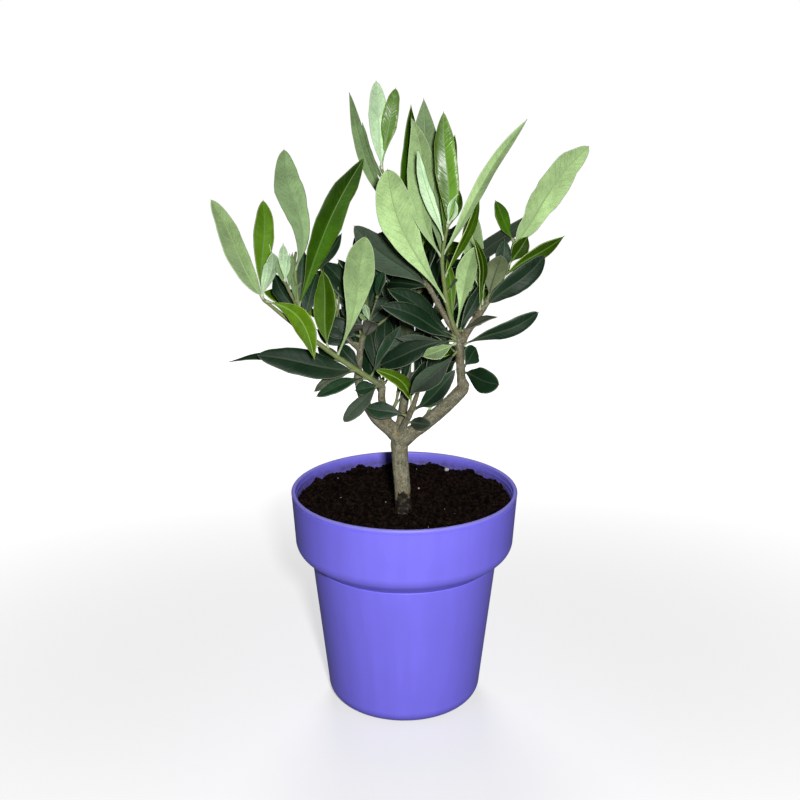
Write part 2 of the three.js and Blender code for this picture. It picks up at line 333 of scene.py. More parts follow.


# The leading leaves, spray by spray.
LEADING = {
    "left_tip_leaves": [
        Leaf("left_shoot", 0.98, (-92, -26, 274), 12, (118, -5), "young", bow=-0.005, snake=0.03, fold=22,
             peak=0.48, blunt=0.8, taper=0.6, split=-0.2, tone=0.75),
        Leaf("left_shoot", 0.99, (-69, -12, 272), 10.5, (285, 10), "bright", bow=-0.01, peak=0.6, blunt=0.7,
             split=0.1, tone=1.25),
        Leaf("left_shoot", 1.0, (-64, -26, 249), 9, (120, 15), "mint", bow=-0.1, fold=26, tone=0.75),
        Leaf("left_shoot", 1.0, (-66, -18, 252), 5, (40, 5), "young", bow=0.06, fold=26),
        Leaf("left_shoot", 1.0, (-67, -24, 244), 3.4, (100, 0), "mint", fold=28),
        Leaf("left_shoot", 0.97, (-44, -33, 198), 10.5, (250, 25), "lime", bow=-0.2, blunt=0.0, peak=0.5,
             tone=0.62),
    ],
    "left_upper_leaves": [
        Leaf("left_side_shoot", 0.7, (-58.5, -8, 296), 13.5, (100, 0), "mid", bow=-0.065, snake=-0.05,
             fold=14, peak=0.6, blunt=0.8, taper=0.7, uneven=0.12, split=-0.12, tone=1.05),
        Leaf("left_side_shoot", 0.26, (-20, -9, 292), 14, (282, 0), "turning", bow=-0.05, fold=20, wave=1.0,
             peak=0.6, blunt=0.4, taper=0.75, uneven=0.16, split=0.25, tone=0.6),
        Leaf("left_side_shoot", 0.49, (-32, 8, 253), 7, (290, 10), "old"),
        Leaf("left_side_shoot", 0.12, (-65, -6, 235), 9, (250, 15), "old", arch=0.1),
        Leaf("left_side_shoot", 0.2, (-51, -3, 247), 7, (275, 5), "old", blunt=0.5, tone=1.8),
        Leaf("left_twig", 0.95, (-59, -20, 252), 5.5, (100, 0), "mint", fold=24, tone=0.8),
        Leaf("left_twig", 0.7, (-62, -21, 246), 4.5, (145, -10), "mid", fold=20),
        Leaf("left_twig", 0.8, (-55, -16, 247), 4.5, (110, 0), "mid", fold=20, tone=0.8),
        Leaf("left_twig", 0.5, (-56, -10, 242.5), 4.5, (110, 0), "mid", fold=20, tone=0.7),
        Leaf("left_side_shoot", 0.06, (-44, 0, 234), 9, (280, 10), "old", tone=1.3),
        Leaf("left_twig", 0.97, (-56, -20, 247), 2.6, (60, 0), "mint", fold=24, tone=0.7),
    ],
    "left_middle_leaves": [
        Leaf("left_shoot", 0.44, (-41, -5, 236), 12, (265, 10), "bright", fold=20, blunt=0.5, peak=0.5,
             split=-0.2, tone=0.7),
        Leaf("left_shoot", 0.37, (-19, -22, 256), 15.5, (92, 8), "young", bow=-0.04, fold=10, blunt=0.6,
             peak=0.66, arch=0.08, split=-0.1, tone=0.92),
    ],
    "left_back_leaves": [
        Leaf("left_upper_bough", 0.52, (-42, 13, 238), 14, (290, 25), "old"),
        Leaf("left_upper_bough", 0.35, (-42, 4, 207), 12, (280, 20), "old"),
        Leaf("left_upper_bough", 0.28, (-45, 4, 204), 11, (270, 20), "old"),
        Leaf("left_shoot", 0.16, (-34, 0, 197.5), 8.5, (270, 20), "old"),
        Leaf("left_shoot", 0.26, (-45, 5, 194.5), 6.5, (270, 20), "old"),
        Leaf("left_upper_bough", 0.4, (-30, 8, 222), 13, (265, 10), "old"),
    ],
    "left_low_leaves": [
        Leaf("left_shoot", 0.2, (-73, -20, 196.5), 14.5, (285, 32), "old", bow=-0.03, fold=8, blunt=0.8,
             peak=0.5, taper=0.65),
        Leaf("left_shoot", 0.32, (-90, 0, 188), 9, (245, 75), "old", blunt=0.0, tone=1.6),
        Leaf("left_shoot", 0.1, (-44, -21, 175.5), 7.5, (275, 50), "old", bow=0.04, blunt=0.8, tone=1.8),
        Leaf("left_shoot", 0.2, (-46, -10, 175), 6, (260, 40), "drab", bow=0.06, blunt=0.7, tone=2.2),
        Leaf("left_shoot", 0.0, (-25, -12, 176), 9, (290, 40), "old", blunt=0.6, tone=1.5),
        Leaf("left_shoot", 0.03, (-30, -30, 165), 8.2, (280, 55), "dusty", arch=0.02, bow=-0.02, blunt=1.0,
             taper=0.9, tone=1.25),
    ],
    "centre_low_leaves": [
        Leaf("centre_twig", 0.5, (25, -24, 190), 9.5, (262, 0), "old", arch=0.08, bow=0.04, split=-0.3,
             tone=1.2),
        Leaf("centre_twig", 0.54, (20.5, -15, 174.5), 5.5, (265, 5), "old", tone=1.9),
        Leaf("centre_twig", 0.42, (-20, -13, 167.5), 9.5, (258, 30), "old", blunt=0.2, tone=1.3),
        Leaf("centre_twig", 0.6, (-14, -26, 190.5), 7.8, (300, 30), "lime", arch=0.1, bow=0.13, peak=0.4,
             blunt=0.9, taper=0.7, uneven=0.1, tone=0.4),
        Leaf("centre_twig", 0.3, (13, -22, 161), 7, (262, 25), "dusty", arch=0.0, fold=4, peak=0.5,
             blunt=1.0, taper=0.4, tone=0.55),
        Leaf("bud_twig", 0.96, (16.5, -16, 173), 1.6, (250, 10), "mint", fold=30, tone=0.9),
        Leaf("bud_twig", 1.0, (18.5, -16, 173.5), 1.7, (300, 10), "mint", fold=30),
    ],
    "inner_leaves": [
        Leaf("left_shoot", 0.1, (-2, -4, 208), 10, (280, 10), "old", arch=0.08, blunt=0.1, tone=1.5),
        Leaf("left_upper_bough", 0.42, (-8, 8, 220), 13, (275, 15), "old"),
        Leaf("top_shoot", 0.3, (-8.5, 20, 225.5), 10, (275, 20), "old"),
        Leaf("middle_bough", 0.97, (-19, 8, 207), 10, (265, 20), "old"),
        Leaf("middle_bough", 1.0, (-9.5, 10, 210), 11, (275, 20), "old"),
        Leaf("grey_twig", 0.2, (-15.5, -13, 212), 8.5, (95, 0), "drab", blunt=0.5, taper=0.5, fold=20,
             tone=1.7),
        Leaf("grey_twig", 0.95, (-29, -8, 205), 6, (120, 30), "drab", blunt=0.8, taper=0.6, tone=0.8),
        Leaf("grey_twig", 1.0, (-20, -3, 219), 4.2, (100, 0), "mint", fold=24, tone=0.5),
        Leaf("grey_twig", 1.0, (-23, -3, 214), 3.0, (130, 0), "mid", fold=24),
        Leaf("curl_twig", 1.0, (-10, -13, 237), 7.5, (255, 40), "old", fold=35, roll=1.6, blunt=0.9,
             taper=0.5, tone=1.6),
    ],
    "front_low_leaves": [
        Leaf("right_upright", 0.94, (-11, -36, 225), 11, (300, 20), "old", bow=0.02, fold=8, blunt=0.7),
        Leaf("right_upright", 0.97, (-8, -26, 231), 12, (305, 25), "old", blunt=0.6, taper=1.1),
        Leaf("right_upright", 0.96, (-12, -14, 190), 12.5, (255, 25), "old", bow=0.04, blunt=0.8, peak=0.62,
             tone=0.8),
        Leaf("right_upright", 0.8, (3, -38, 182), 11.5, (85, -45), "dusty", fold=16, uneven=0.1,
             split=-0.45, tone=0.8),
        Leaf("right_upright", 0.93, (9, -28, 198), 8.5, (80, -30), "young", fold=28, blunt=0.0, uneven=0.14,
             split=-0.3, tone=0.62),
        Leaf("right_upright", 0.86, (-4, -14, 204), 6, (90, -20), "dusty", tone=0.7),
        Leaf("right_upright", 0.6, (19, 0, 182), 7, (270, 20), "old"),
    ],
    "right_low_leaves": [
        Leaf("right_upright", 0.84, (65, -26, 219.5), 8.8, (268, -5), "old", arch=0.1, blunt=0.9, peak=0.6,
             taper=0.85),
        Leaf("right_upright", 0.33, (45, -47, 189), 12, (215, 15), "old", blunt=0.9, taper=0.6, peak=0.6,
             tone=1.2),
        Leaf("right_upright", 0.36, (36, -11, 198), 10.5, (305, 20), "old", blunt=0.8, tone=1.4),
    ],
    "front_leaves": [
        Leaf("front_shoot", 0.32, (-8, -34, 289), 18.5, (100, 5), "young", bow=0.065, snake=-0.025, fold=9,
             peak=0.66, blunt=0.9, wave=0.6, uneven=0.07, split=0.1, tone=1.2),
        Leaf("front_shoot", 0.08, (34, -21, 251), 11, (105, 0), "young", fold=20, peak=0.62, blunt=0.4,
             taper=1.3, split=0.15, tone=0.88),
        Leaf("front_shoot", 0.73, (57, -23, 311), 7.6, (110, 5), "young", fold=22, taper=0.8, uneven=0.04,
             split=0.12, tone=0.9),
    ],
    "front_top_leaves": [
        Leaf("front_shoot", 0.53, (36, -15, 274), 8, (318, -5), "bright", tone=0.7),
        Leaf("front_shoot", 0.12, (21, -12, 243), 5.5, (280, 0), "bright", tone=0.8),
        Leaf("front_shoot", 0.85, (6, -35, 298), 7.2, (115, -5), "mint", fold=28, peak=0.5, split=-0.22,
             tone=1.25),
        Leaf("front_shoot", 0.71, (3, -21, 312), 15, (100, -10), "young", bow=0.03, snake=0.03, fold=28,
             blunt=0.0, split=0.1, tone=0.85),
        Leaf("front_shoot", 0.67, (9, -13, 320), 15, (100, -15), "mid", blunt=0.2, tone=0.8),
        Leaf("front_shoot", 0.97, (18, -26, 314.5), 11.5, (259, 8), "glossy", bow=0.025, fold=15, peak=0.5,
             blunt=0.5, taper=0.7, wave=0.6, uneven=0.08, split=0.3, tone=1.25),
        Leaf("front_shoot", 0.9, (26.5, -14, 277), 6, (275, 5), "turning", blunt=0.4, tone=0.4),
        Leaf("front_shoot", 0.82, (24, -12, 303), 8.5, (278, 0), "turning", bow=-0.03, blunt=0.4, tone=0.6),
        Leaf("front_shoot", 1.0, (25, -34, 278), 4.5, (150, 15), "mint", bow=0.12, fold=30, blunt=0.0),
        Leaf("front_shoot", 1.0, (23.5, -37, 275), 3.6, (40, 20), "mint", bow=-0.1, fold=30, blunt=0.0),
    ],
    "top_side_leaves": [
        Leaf("top_shoot", 0.29, (-25, 0, 258), 18, (105, -40), "dusty", blunt=0.7, tone=1.1),
        Leaf("top_shoot", 0.61, (3, -2, 316.5), 14, (320, -5), "turning", bow=-0.075, blunt=0.1, tone=0.6),
    ],
    "top_leaves": [
        Leaf("top_shoot", 0.67, (-27, 6, 322), 9, (135, -10), "mid", bow=0.045, snake=0.035, blunt=0.5,
             tone=1.05),
        Leaf("top_shoot", 0.86, (-21, 16, 307), 6.5, (130, -20), "mid", bow=0.06, tone=0.85),
        Leaf("top_shoot", 0.97, (-14, 8, 327.5), 10, (95, 0), "mint", fold=16, peak=0.5, blunt=0.9,
             split=-0.12, tone=1.05),
        Leaf("top_shoot", 0.98, (-4.5, 14, 324), 8, (272, 6), "glossy", fold=9, wave=0.6, peak=0.6,
             blunt=0.9, uneven=0.12, tone=1.15),
    ],
    "right_leaves": [
        Leaf("front_shoot", 0.06, (45.5, -18, 215.5), 4.5, (270, 60), "drab", blunt=0.7, tone=0.9),
        Leaf("right_back_bough", 0.34, (69, -10, 244.5), 11.5, (268, -8), "old", arch=0.08, blunt=0.9,
             taper=0.5),
        Leaf("right_back_bough", 0.62, (80, 2, 252.5), 7.5, (272, -5), "bright", arch=0.1, bow=-0.05,
             blunt=0.1, tone=0.45),
        Leaf("right_back_bough", 0.42, (47, -17, 246), 12, (95, 20), "old", blunt=0.8, tone=1.4),
        Leaf("right_back_bough", 0.3, (33, -26, 256), 5.5, (300, 10), "bright", bow=0.05, tone=0.3),
        Leaf("right_back_bough", 0.76, (62, 4, 252), 9, (280, 5), "bright", tone=0.35),
        Leaf("right_back_bough", 0.62, (50, 0, 251), 8.5, (275, 5), "old", blunt=0.4, tone=1.4),
        Leaf("right_back_bough", 0.34, (34, -3, 269), 12, (110, -10), "young", tone=0.7),
        Leaf("front_shoot", 0.4, (70, 18, 264.5), 8.5, (100, -20), "dusty", bow=0.04, tone=0.5),
        Leaf("front_shoot", 0.03, (38, -8, 230), 7, (280, 5), "old"),
        Leaf("right_back_bough", 0.04, (27, 4, 214), 9, (275, 10), "old"),
    ],
    "right_tip_leaves": [
        Leaf("right_back_bough", 0.96, (45.5, 4, 270), 8.5, (300, 5), "turning", bow=-0.05, wave=0.6,
             blunt=0.5, tone=0.9),
        Leaf("right_back_bough", 0.92, (92, 12, 296), 15, (92, -5), "young", bow=0.025, fold=14, wave=1.3,
             peak=0.5, blunt=0.9, taper=0.55, uneven=0.16, split=-0.1, tone=1.1),
    ],
}


@dataclass
class Kind:
    """A kind of leaf: linear base colours of its parts, and how its upper side shines."""

    upper: tuple
    under: tuple
    rib: tuple
    edge: tuple
    rough: float = 0.5
    coat: float = 0.0
    shine: float = 0.22
    tip_shade: float = 0.1  # how much darker the upper side is at the tip


KINDS = {
    "mint": Kind(
        upper=(0.12, 0.26, 0.04), under=(0.50, 0.71, 0.42), rib=(0.42, 0.60, 0.32), edge=(0.55, 0.70, 0.44),
        rough=0.45, coat=0.05, shine=0.2, tip_shade=0.0,
    ),
    "young": Kind(
        upper=(0.07, 0.17, 0.012), under=(0.33, 0.49, 0.20), rib=(0.22, 0.38, 0.11),
        edge=(0.42, 0.57, 0.29), rough=0.45, coat=0.05, shine=0.2,
    ),
    "mid": Kind(
        upper=(0.05, 0.11, 0.02), under=(0.20, 0.31, 0.13), rib=(0.16, 0.25, 0.09), edge=(0.20, 0.29, 0.12),
        rough=0.45, coat=0.05, shine=0.2,
    ),
    "bright": Kind(
        upper=(0.062, 0.148, 0.002), under=(0.28, 0.42, 0.15), rib=(0.075, 0.16, 0.012),
        edge=(0.32, 0.43, 0.14), rough=0.48, shine=0.07, tip_shade=0.2,
    ),
    "glossy": Kind(
        upper=(0.07, 0.16, 0.01), under=(0.28, 0.42, 0.15), rib=(0.13, 0.26, 0.05), edge=(0.30, 0.40, 0.12),
        rough=0.45, coat=0.8, shine=0.2,
    ),
    "turning": Kind(
        upper=(0.055, 0.16, 0.004), under=(0.20, 0.30, 0.12), rib=(0.07, 0.155, 0.015),
        edge=(0.14, 0.20, 0.06), rough=0.52, shine=0.07, tip_shade=0.5,
    ),
    "lime": Kind(
        upper=(0.15, 0.31, 0.01), under=(0.30, 0.46, 0.13), rib=(0.17, 0.32, 0.045),
        edge=(0.34, 0.46, 0.12), shine=0.07, tip_shade=0.2,
    ),
    "old": Kind(
        upper=(0.0055, 0.022, 0.0075), under=(0.10, 0.125, 0.06), rib=(0.034, 0.056, 0.03),
        edge=(0.14, 0.17, 0.115), rough=0.52, tip_shade=0.0,
    ),
    "dusty": Kind(
        upper=(0.045, 0.065, 0.045), under=(0.052, 0.082, 0.05), rib=(0.05, 0.07, 0.04),
        edge=(0.11, 0.13, 0.085), tip_shade=0.0,
    ),
    "drab": Kind(
        upper=(0.045, 0.055, 0.035), under=(0.074, 0.078, 0.060), rib=(0.06, 0.066, 0.045),
        edge=(0.13, 0.135, 0.10), rough=0.55,
    ),
}

# openings in the crown that stay open, as left, right, bottom and top on the plane y = 0
GAPS = (
    (-10, -1, 161, 176), (-6, -1, 153, 159), (-23, -18, 182, 192), (37, 50, 203, 220),
    (35, 50, 169, 176), (-60, -50, 174, 180), (23, 27, 226, 232), (38, 47, 237, 260),
    (12, 17, 167, 179), (7, 12, 158, 162), (-35, -13, 257, 281), (-34, -24, 241, 257),
    (-68, -60, 249, 273), (-49, -42, 254, 271), (29, 58, 266, 310), (39, 53, 252, 269),
    (51, 85, 221, 231), (40, 62, 210, 221), (32, 41, 197, 210), (-76, -54, 197, 215),
    (-12, 0, 167, 176), (44, 71, 213, 223), (39, 49, 186, 197),
)


def on_front_plane(points):
    """Where lines from the eye through the points meet the plane y = 0."""
    share = -EYE[1] / (points[:, 1] - EYE[1])
    return EYE + (points - EYE) * share[:, None]


def fills_a_gap(points):
    """Whether any of the points is seen in an opening that stays open."""
    seen = on_front_plane(points)
    return any(
        ((seen[:, 0] > left) & (seen[:, 0] < right) & (seen[:, 2] > low) & (seen[:, 2] < high)).any()
        for left, right, low, high in GAPS
    )


# ---------------------------------------------------------------- twigs and leaf pairs grown by rule

# each row: a stem, the mass its leaves stand for, its side twigs, the pairs of leaves on the stem and
# on each twig, where the pairs begin and end along the stem, and its longest leaf in millimetres
BRANCHING = (
    ("left_upper_bough", "inner_leaves", 2, 5, 2, 0.15, 1.0, 44),
    ("middle_bough", "inner_leaves", 1, 2, 2, 0.6, 0.95, 42),
    ("back_bough", "back_middle_leaves", 2, 3, 3, 0.45, 0.9, 48),
    ("back_left_shoot", "back_left_leaves", 2, 5, 3, 0.15, 1.0, 50),
    ("back_middle_shoot", "back_middle_leaves", 2, 5, 2, 0.2, 1.0, 50),
    ("back_top_shoot", "back_top_leaves", 2, 5, 3, 0.25, 1.0, 46),
    ("back_right_shoot", "back_right_leaves", 2, 5, 3, 0.15, 1.0, 50),
    ("left_back_shoot", "left_back_leaves", 1, 4, 2, 0.2, 1.0, 44),
    ("top_shoot", "top_side_leaves", 1, 4, 2, 0.1, 0.5, 46),
    ("right_back_bough", "right_leaves", 0, 2, 0, 0.2, 0.5, 42),
    ("right_upright", "front_low_leaves", 0, 1, 0, 0.6, 0.6, 36),
    ("left_shoot", "left_middle_leaves", 0, 2, 0, 0.3, 0.55, 34),
)

AGES = ("mint", "bright", "bright", "old", "old", "old")  # from the tip of a shoot downwards
AGE_BELOW_TIP = 3  # of the first pair on a stem whose pairs begin below its tip
GROWN = (0.25, 0.55, 0.85, 1.0, 1.0, 0.95)  # share of the longest leaf at each age
SPREAD = (12, 28, 40, 50, 58, 66)  # degrees between leaf and stem at each age
# between which values each of these lies on a leaf that grows by rule
VARIED = {
    "arch": (0.02, 0.12), "fold": (8, 18), "wave": (0.3, 0.9), "twist": (-25, 25), "peak": (0.5, 0.66),
    # split is painted light and shade: one half of the leaf lighter than the other
    "blunt": (0.2, 0.9), "tone": (0.75, 1.2), "split": (-0.25, 0.25),
}
SHADE = {"out": 38, "up": 262}  # mm: nearer the pot's axis and lower than this, leaves are all dark
TRIES = 18
GOLDEN_ANGLE = 137.5
TWIG_LENGTHS = (13, 23)  # mm
TWIG_SWING = 50  # degrees to either side that a try for a twig turns round its stem
LEAF_SWING = 40  # the same for a leaf
LEAN_SWING = 14  # degrees by which a leaf stands off its stem more or less than others of its age
ROLL_SWING = 30  # degrees that its upper side is turned to either side
EYE_PULL = 0.7  # how much the upper side looks to the eye, beside looking up along the stem
SLENDER = (0.21, 0.29)  # a leaf's width for each unit of its length
UPRIGHT = np.array([0.3, -0.2, 1.0])  # turns round a stem are counted from the side nearest this way
OPEN_ROOM = 6  # mm to the next leaf, more than which is no better
MOST_CELLS = 16  # newly closed cells, more than which is no better
CELL_WORTH = 0.45  # for each newly closed cell
OUTSIDE_COST = 0.6  # for each mm outside the mass
GAP_COST = 99  # for filling an opening
HIDING_COST = 40  # for hiding a leading leaf
LEAST_SCORE = -20  # a leaf with no better place than this is left out
LEADER_ROOM = 6.5  # mm on the front plane that each point of a leading leaf keeps clear before it

# The middle of the crown is closed with leaves. It is watched on the plane y = 0, in square cells.
CLOSED = {"left": -40, "right": 34, "low": 176, "high": 266, "cell": 4.0}
covered = set()


def leaf_points(foot, tip):
    """A few points along a leaf, for judging what it is near."""
    return foot + (tip - foot) * np.array([[0.3], [0.5], [0.7], [0.85], [1.0]])


def cells_behind(foot, tip, width):
    """The cells in the middle of the crown that a leaf hides from the eye."""
    chord = unit(tip - foot)
    beside = unit(np.cross(chord, EYE - foot)) * width * 0.3
    steps = foot + (tip - foot) * np.linspace(0.15, 0.95, 12)[:, None]
    seen = on_front_plane(np.vstack([steps - beside, steps, steps + beside]))[:, [0, 2]]
    low, high = [CLOSED["left"], CLOSED["low"]], [CLOSED["right"], CLOSED["high"]]
    inside = ((seen > low) & (seen < high)).all(axis=1)
    return {tuple(cell) for cell in (seen[inside] // CLOSED["cell"]).astype(int)}


def seen_from_eye(points):
    """Where points are seen on the front plane, and how far they are from the eye."""
    return np.c_[on_front_plane(points)[:, [0, 2]], np.linalg.norm(points - EYE, axis=1)]


def hides_a_leader(points, leaders):
    """Whether a leaf would stand before one of the leading leaves."""
    gap = seen_from_eye(points)[:, None] - leaders
    return bool(((np.hypot(gap[..., 0], gap[..., 1]) < LEADER_ROOM) & (gap[..., 2] < 0)).any())


def beyond(box, point):
    """How far a point lies outside a box."""
    low, high = box
    return max((low - point).max(), (point - high).max(), 0)


def grow_side_twigs(parent, box, count, rng):
    """Side twigs a golden angle apart, each the one of several tries that stays nearest its mass."""
    stem = stems[parent]
    names = []
    for k in range(count):
        at = 0.3 + 0.5 * (k + rng.uniform(0, 0.5)) / count
        foot, way = stem.point(at), stem.way(at)
        out = turned(across(UPRIGHT, way), way, GOLDEN_ANGLE * k + rng.uniform(0, 40))
        options = []
        for _ in range(TRIES):
            side = turned(out, way, rng.uniform(-TWIG_SWING, TWIG_SWING))
            aim = unit(way * 0.75 + side * rng.uniform(0.7, 1.0) + [0, 0, 0.2])
            reach = aim * rng.uniform(*TWIG_LENGTHS)
            clear = min(
                np.linalg.norm(other.line - (foot + reach), axis=1).min()
                for name, other in stems.items() if name != parent
            )
            shut = fills_a_gap(leaf_points(foot, foot + reach))
            options.append((min(clear, 9) - beyond(box, foot + reach) - 50 * shut, tuple(reach)))
        name = f"{parent}_twig_{k + 1}"
        grow_twig(name, parent, at, max(options)[1])
        names.append(name)
    return names


def best_tip(foot, way, turn, age, longest, box, taken, leaders, rng):
    """Of several tries for a leaf's tip, the best score and the place that has it."""
    out, others = across(UPRIGHT, way), np.vstack(taken)
    options = []
    for _ in range(TRIES):
        heading = turned(out, way, turn + rng.uniform(-LEAF_SWING, LEAF_SWING))
        lean = math.radians(SPREAD[age] + rng.uniform(-LEAN_SWING, LEAN_SWING))
        aim = unit(way * math.cos(lean) + heading * math.sin(lean) + [0, 0, 0.15])
        tip = foot + aim * longest * GROWN[age] * rng.uniform(0.8, 1.1)
        places = leaf_points(foot, tip)
        room = np.linalg.norm(others[:, None] - places[1:], axis=2).min()
        fresh = len(cells_behind(foot, tip, 0.24 * longest) - covered)
        score = min(room, OPEN_ROOM) + CELL_WORTH * min(fresh, MOST_CELLS)
        score -= OUTSIDE_COST * beyond(box, tip) + GAP_COST * fills_a_gap(places)
        score -= HIDING_COST * hides_a_leader(places, leaders)
        options.append((score, tuple(tip)))
    return max(options)


def upper_side(foot, tip, way, in_view, rng):
    """Where a leaf's upper side looks: up along its stem and, where it is in view, to the eye."""
    to_eye = unit(EYE - foot) * (EYE_PULL if in_view else 0)
    facing = across(way + to_eye, unit(tip - foot))
    facing = turned(facing, tip - foot, rng.uniform(-ROLL_SWING, ROLL_SWING))
    return math.degrees(math.atan2(facing[1], facing[0])), math.degrees(math.asin(facing[2]))


def grow_pairs(stem_name, spray, box, pairs, first, last, longest, taken, leaders):
    """Adds opposite pairs to a spray, each pair a quarter turn from the last, into the free room."""
    rng = dice(stem_name)
    stem = stems[stem_name]
    azimuth = rng.uniform(0, 360)
    youngest = 0 if last == 1.0 else AGE_BELOW_TIP
    for k in range(pairs):
        at = last - (last - first) * (k / max(1, pairs - 1)) ** 0.85
        foot, way = stem.point(at), stem.way(at)
        age = min(k + youngest, len(AGES) - 1)
        for side in (0, 180):
            score, tip = best_tip(foot, way, azimuth + side, age, longest, box, taken, leaders, rng)
            if score < LEAST_SCORE:
                continue
            tip = np.array(tip)
            width = np.linalg.norm(tip - foot) * rng.uniform(*SLENDER)
            cells = cells_behind(foot, tip, width)
            covered.update(cells)
            taken.append(leaf_points(foot, tip))
            faces = upper_side(foot, tip, way, bool(cells), rng)
            own = {key: rng.uniform(*ends) for key, ends in VARIED.items()}
            shaded = np.hypot(tip[0], tip[1]) < SHADE["out"] and tip[2] < SHADE["up"]
            kind = "old" if shaded else AGES[age]
            spray.append(Leaf(stem_name, at, tuple(tip), width, faces, kind, **own))
        azimuth += 90 + rng.uniform(-10, 10)


def all_sprays():
    """The leaves of every mass: first the leading ones, then those that grow by rule round them."""
    sprays = {mass: [] for mass in sorted(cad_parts) if mass.endswith("_leaves")}
    for mass, leaves in LEADING.items():
        sprays[mass] += leaves
    taken = []
    for leaf in (leaf for leaves in sprays.values() for leaf in leaves):
        foot, tip = stems[leaf.stem].point(leaf.at), np.array(leaf.tip, float)
        taken.append(leaf_points(foot, tip))
        covered.update(cells_behind(foot, tip, leaf.width))
    leaders = seen_from_eye(np.vstack(taken))
    for parent, mass, twigs, pairs, twig_pairs, first, last, longest in BRANCHING:
        box = [np.array(corner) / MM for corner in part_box(mass)]
        grow_pairs(parent, sprays[mass], box, pairs, first, last, longest, taken, leaders)
        for twig in grow_side_twigs(parent, box, twigs, dice(parent + " twigs")):
            grow_pairs(twig, sprays[mass], box, twig_pairs + 1, 0.35, 1.0, longest * 0.85, taken, leaders)
    return sprays


# ---------------------------------------------------------------- meshes


def skin(rings):
    """Points and quads of a closed skin over rows of rings, with both ends zipped shut.

    Each ring runs anticlockwise seen from the far end, and holds an even number of points."""
    rows, around = rings.shape[:2]
    first = np.arange(rows * around).reshape(rows, around)
    beside = np.roll(first, -1, axis=1)
    walls = np.stack([first[:-1], beside[:-1], beside[1:], first[1:]], axis=-1).reshape(-1, 4)
    j = np.arange(around // 2 - 1)
    zipped = np.stack([j, j + 1, around - 2 - j, around - 1 - j], axis=1)
    caps = np.vstack([first[-1][zipped], first[0][zipped[:, ::-1]]])
    return rings.reshape(-1, 3), np.vstack([walls, caps])


def mesh_of(name, points, quads, smooth=True):
    """A mesh in metres from points in millimetres."""
    mesh = bpy.data.meshes.new(name)
    mesh.vertices.add(len(points))
    write_numbers(mesh.vertices, "co", np.asarray(points) * MM)
    mesh.loops.add(quads.size)
    mesh.loops.foreach_set("vertex_index", quads.astype(np.int32).ravel())
    mesh.polygons.add(len(quads))
    mesh.polygons.foreach_set("loop_start", np.arange(0, quads.size, 4, dtype=np.int32))
    mesh.polygons.foreach_set("use_smooth", np.full(len(quads), smooth))
    mesh.update(calc_edges=True)
    return mesh


def piece_of(name, data, materials=()):
    """An object in the scene, at the origin, with its materials."""
    piece = bpy.data.objects.new(name, data)
    bpy.context.scene.collection.objects.link(piece)
    for material in materials:
        data.materials.append(material)
    return piece


def joined(parts):
    """Points and quads of several parts as one."""
    starts = np.cumsum([0] + [len(points) for points, _ in parts[:-1]])
    return (
        np.vstack([points for points, _ in parts]),
        np.vstack([quads + start for (_, quads), start in zip(parts, starts)]),
    )


def apply_modifiers(piece):
    """Makes the mesh that a piece's modifiers give its own, and takes them off."""
    graph = bpy.context.evaluated_depsgraph_get()
    mesh = bpy.data.meshes.new_from_object(piece.evaluated_get(graph), depsgraph=graph)
    piece.modifiers.clear()
    piece.data = mesh


def write_numbers(data, key, values):
    data.foreach_set(key, np.ravel(values).astype(np.float32))


def write_attribute(mesh, name, values):
    """Stores a number or a vector for each point of a mesh, under a name that a finish reads."""
    vectors = np.ndim(values) == 2
    made = mesh.attributes.new(name, "FLOAT_VECTOR" if vectors else "FLOAT", "POINT")
    write_numbers(made.data, "vector" if vectors else "value", values)


def numbers_of(data, key, width=1):
    found = np.empty(len(data) * width, np.float32)
    data.foreach_get(key, found)
    return found.astype(float)


def places_of(mesh):
    return numbers_of(mesh.vertices, "co", 3).reshape(-1, 3) / MM


def normals_of(mesh):
    return numbers_of(mesh.vertices, "normal", 3).reshape(-1, 3)


def ripples(points, size, octaves=3):
    """Smooth noise between about -1 and 1 at each point, with features of a size in millimetres."""
    return np.array([
        noise.fractal(Vector(p), 0.8, 2.1, octaves, noise_basis="PERLIN_ORIGINAL")
        for p in np.asarray(points) / size
    ])


# ---------------------------------------------------------------- leaf shells

# sizes in millimetres
BLADE_ROWS = 25
STALK_ROWS = (0.0, 0.5, 1.0, 1.5, 2.1, 2.9)  # mm out from the stem's surface, after the first
STALK_SHARE = 0.09  # of a leaf's length, at most
BLADE_THICKNESS = {"foot": 0.24, "tip": 0.18}
RIB_SINK = {"upper": 0.11, "under": 0.3}  # mm that the rib lies in, or stands out from, the blade
STALK_RADIUS = {"least": 0.38, "by_width": 0.015}
MARGIN_WIDTH = 0.42
TIP_POINT = 0.7
INNER_COLUMNS = (0.22, 0.48, 0.74)  # from the rib to the margin strip
HALF = len(INNER_COLUMNS) + 3  # with the rib and both sides of the margin strip
TOPS = 2 * HALF + 1
POINTS_ROUND = 2 * TOPS - 2
MIDDLE_TOP, MIDDLE_UNDER = HALF, TOPS + HALF - 1
FINISHES = ("upper", "under", "upper rib", "under rib", "edge", "stalk", "tip")


def wander(u, rng):
    """A gentle uneven course along a leaf, between about -1 and 1."""
    phases = rng.uniform(0, 2 * np.pi, 4)
    waves = zip((1.1, 2.3, 4.1, 7.3), (0.6, 0.35, 0.25, 0.12), phases)
    return sum(size * np.sin(2 * np.pi * count * u + phase) for count, size, phase in waves)


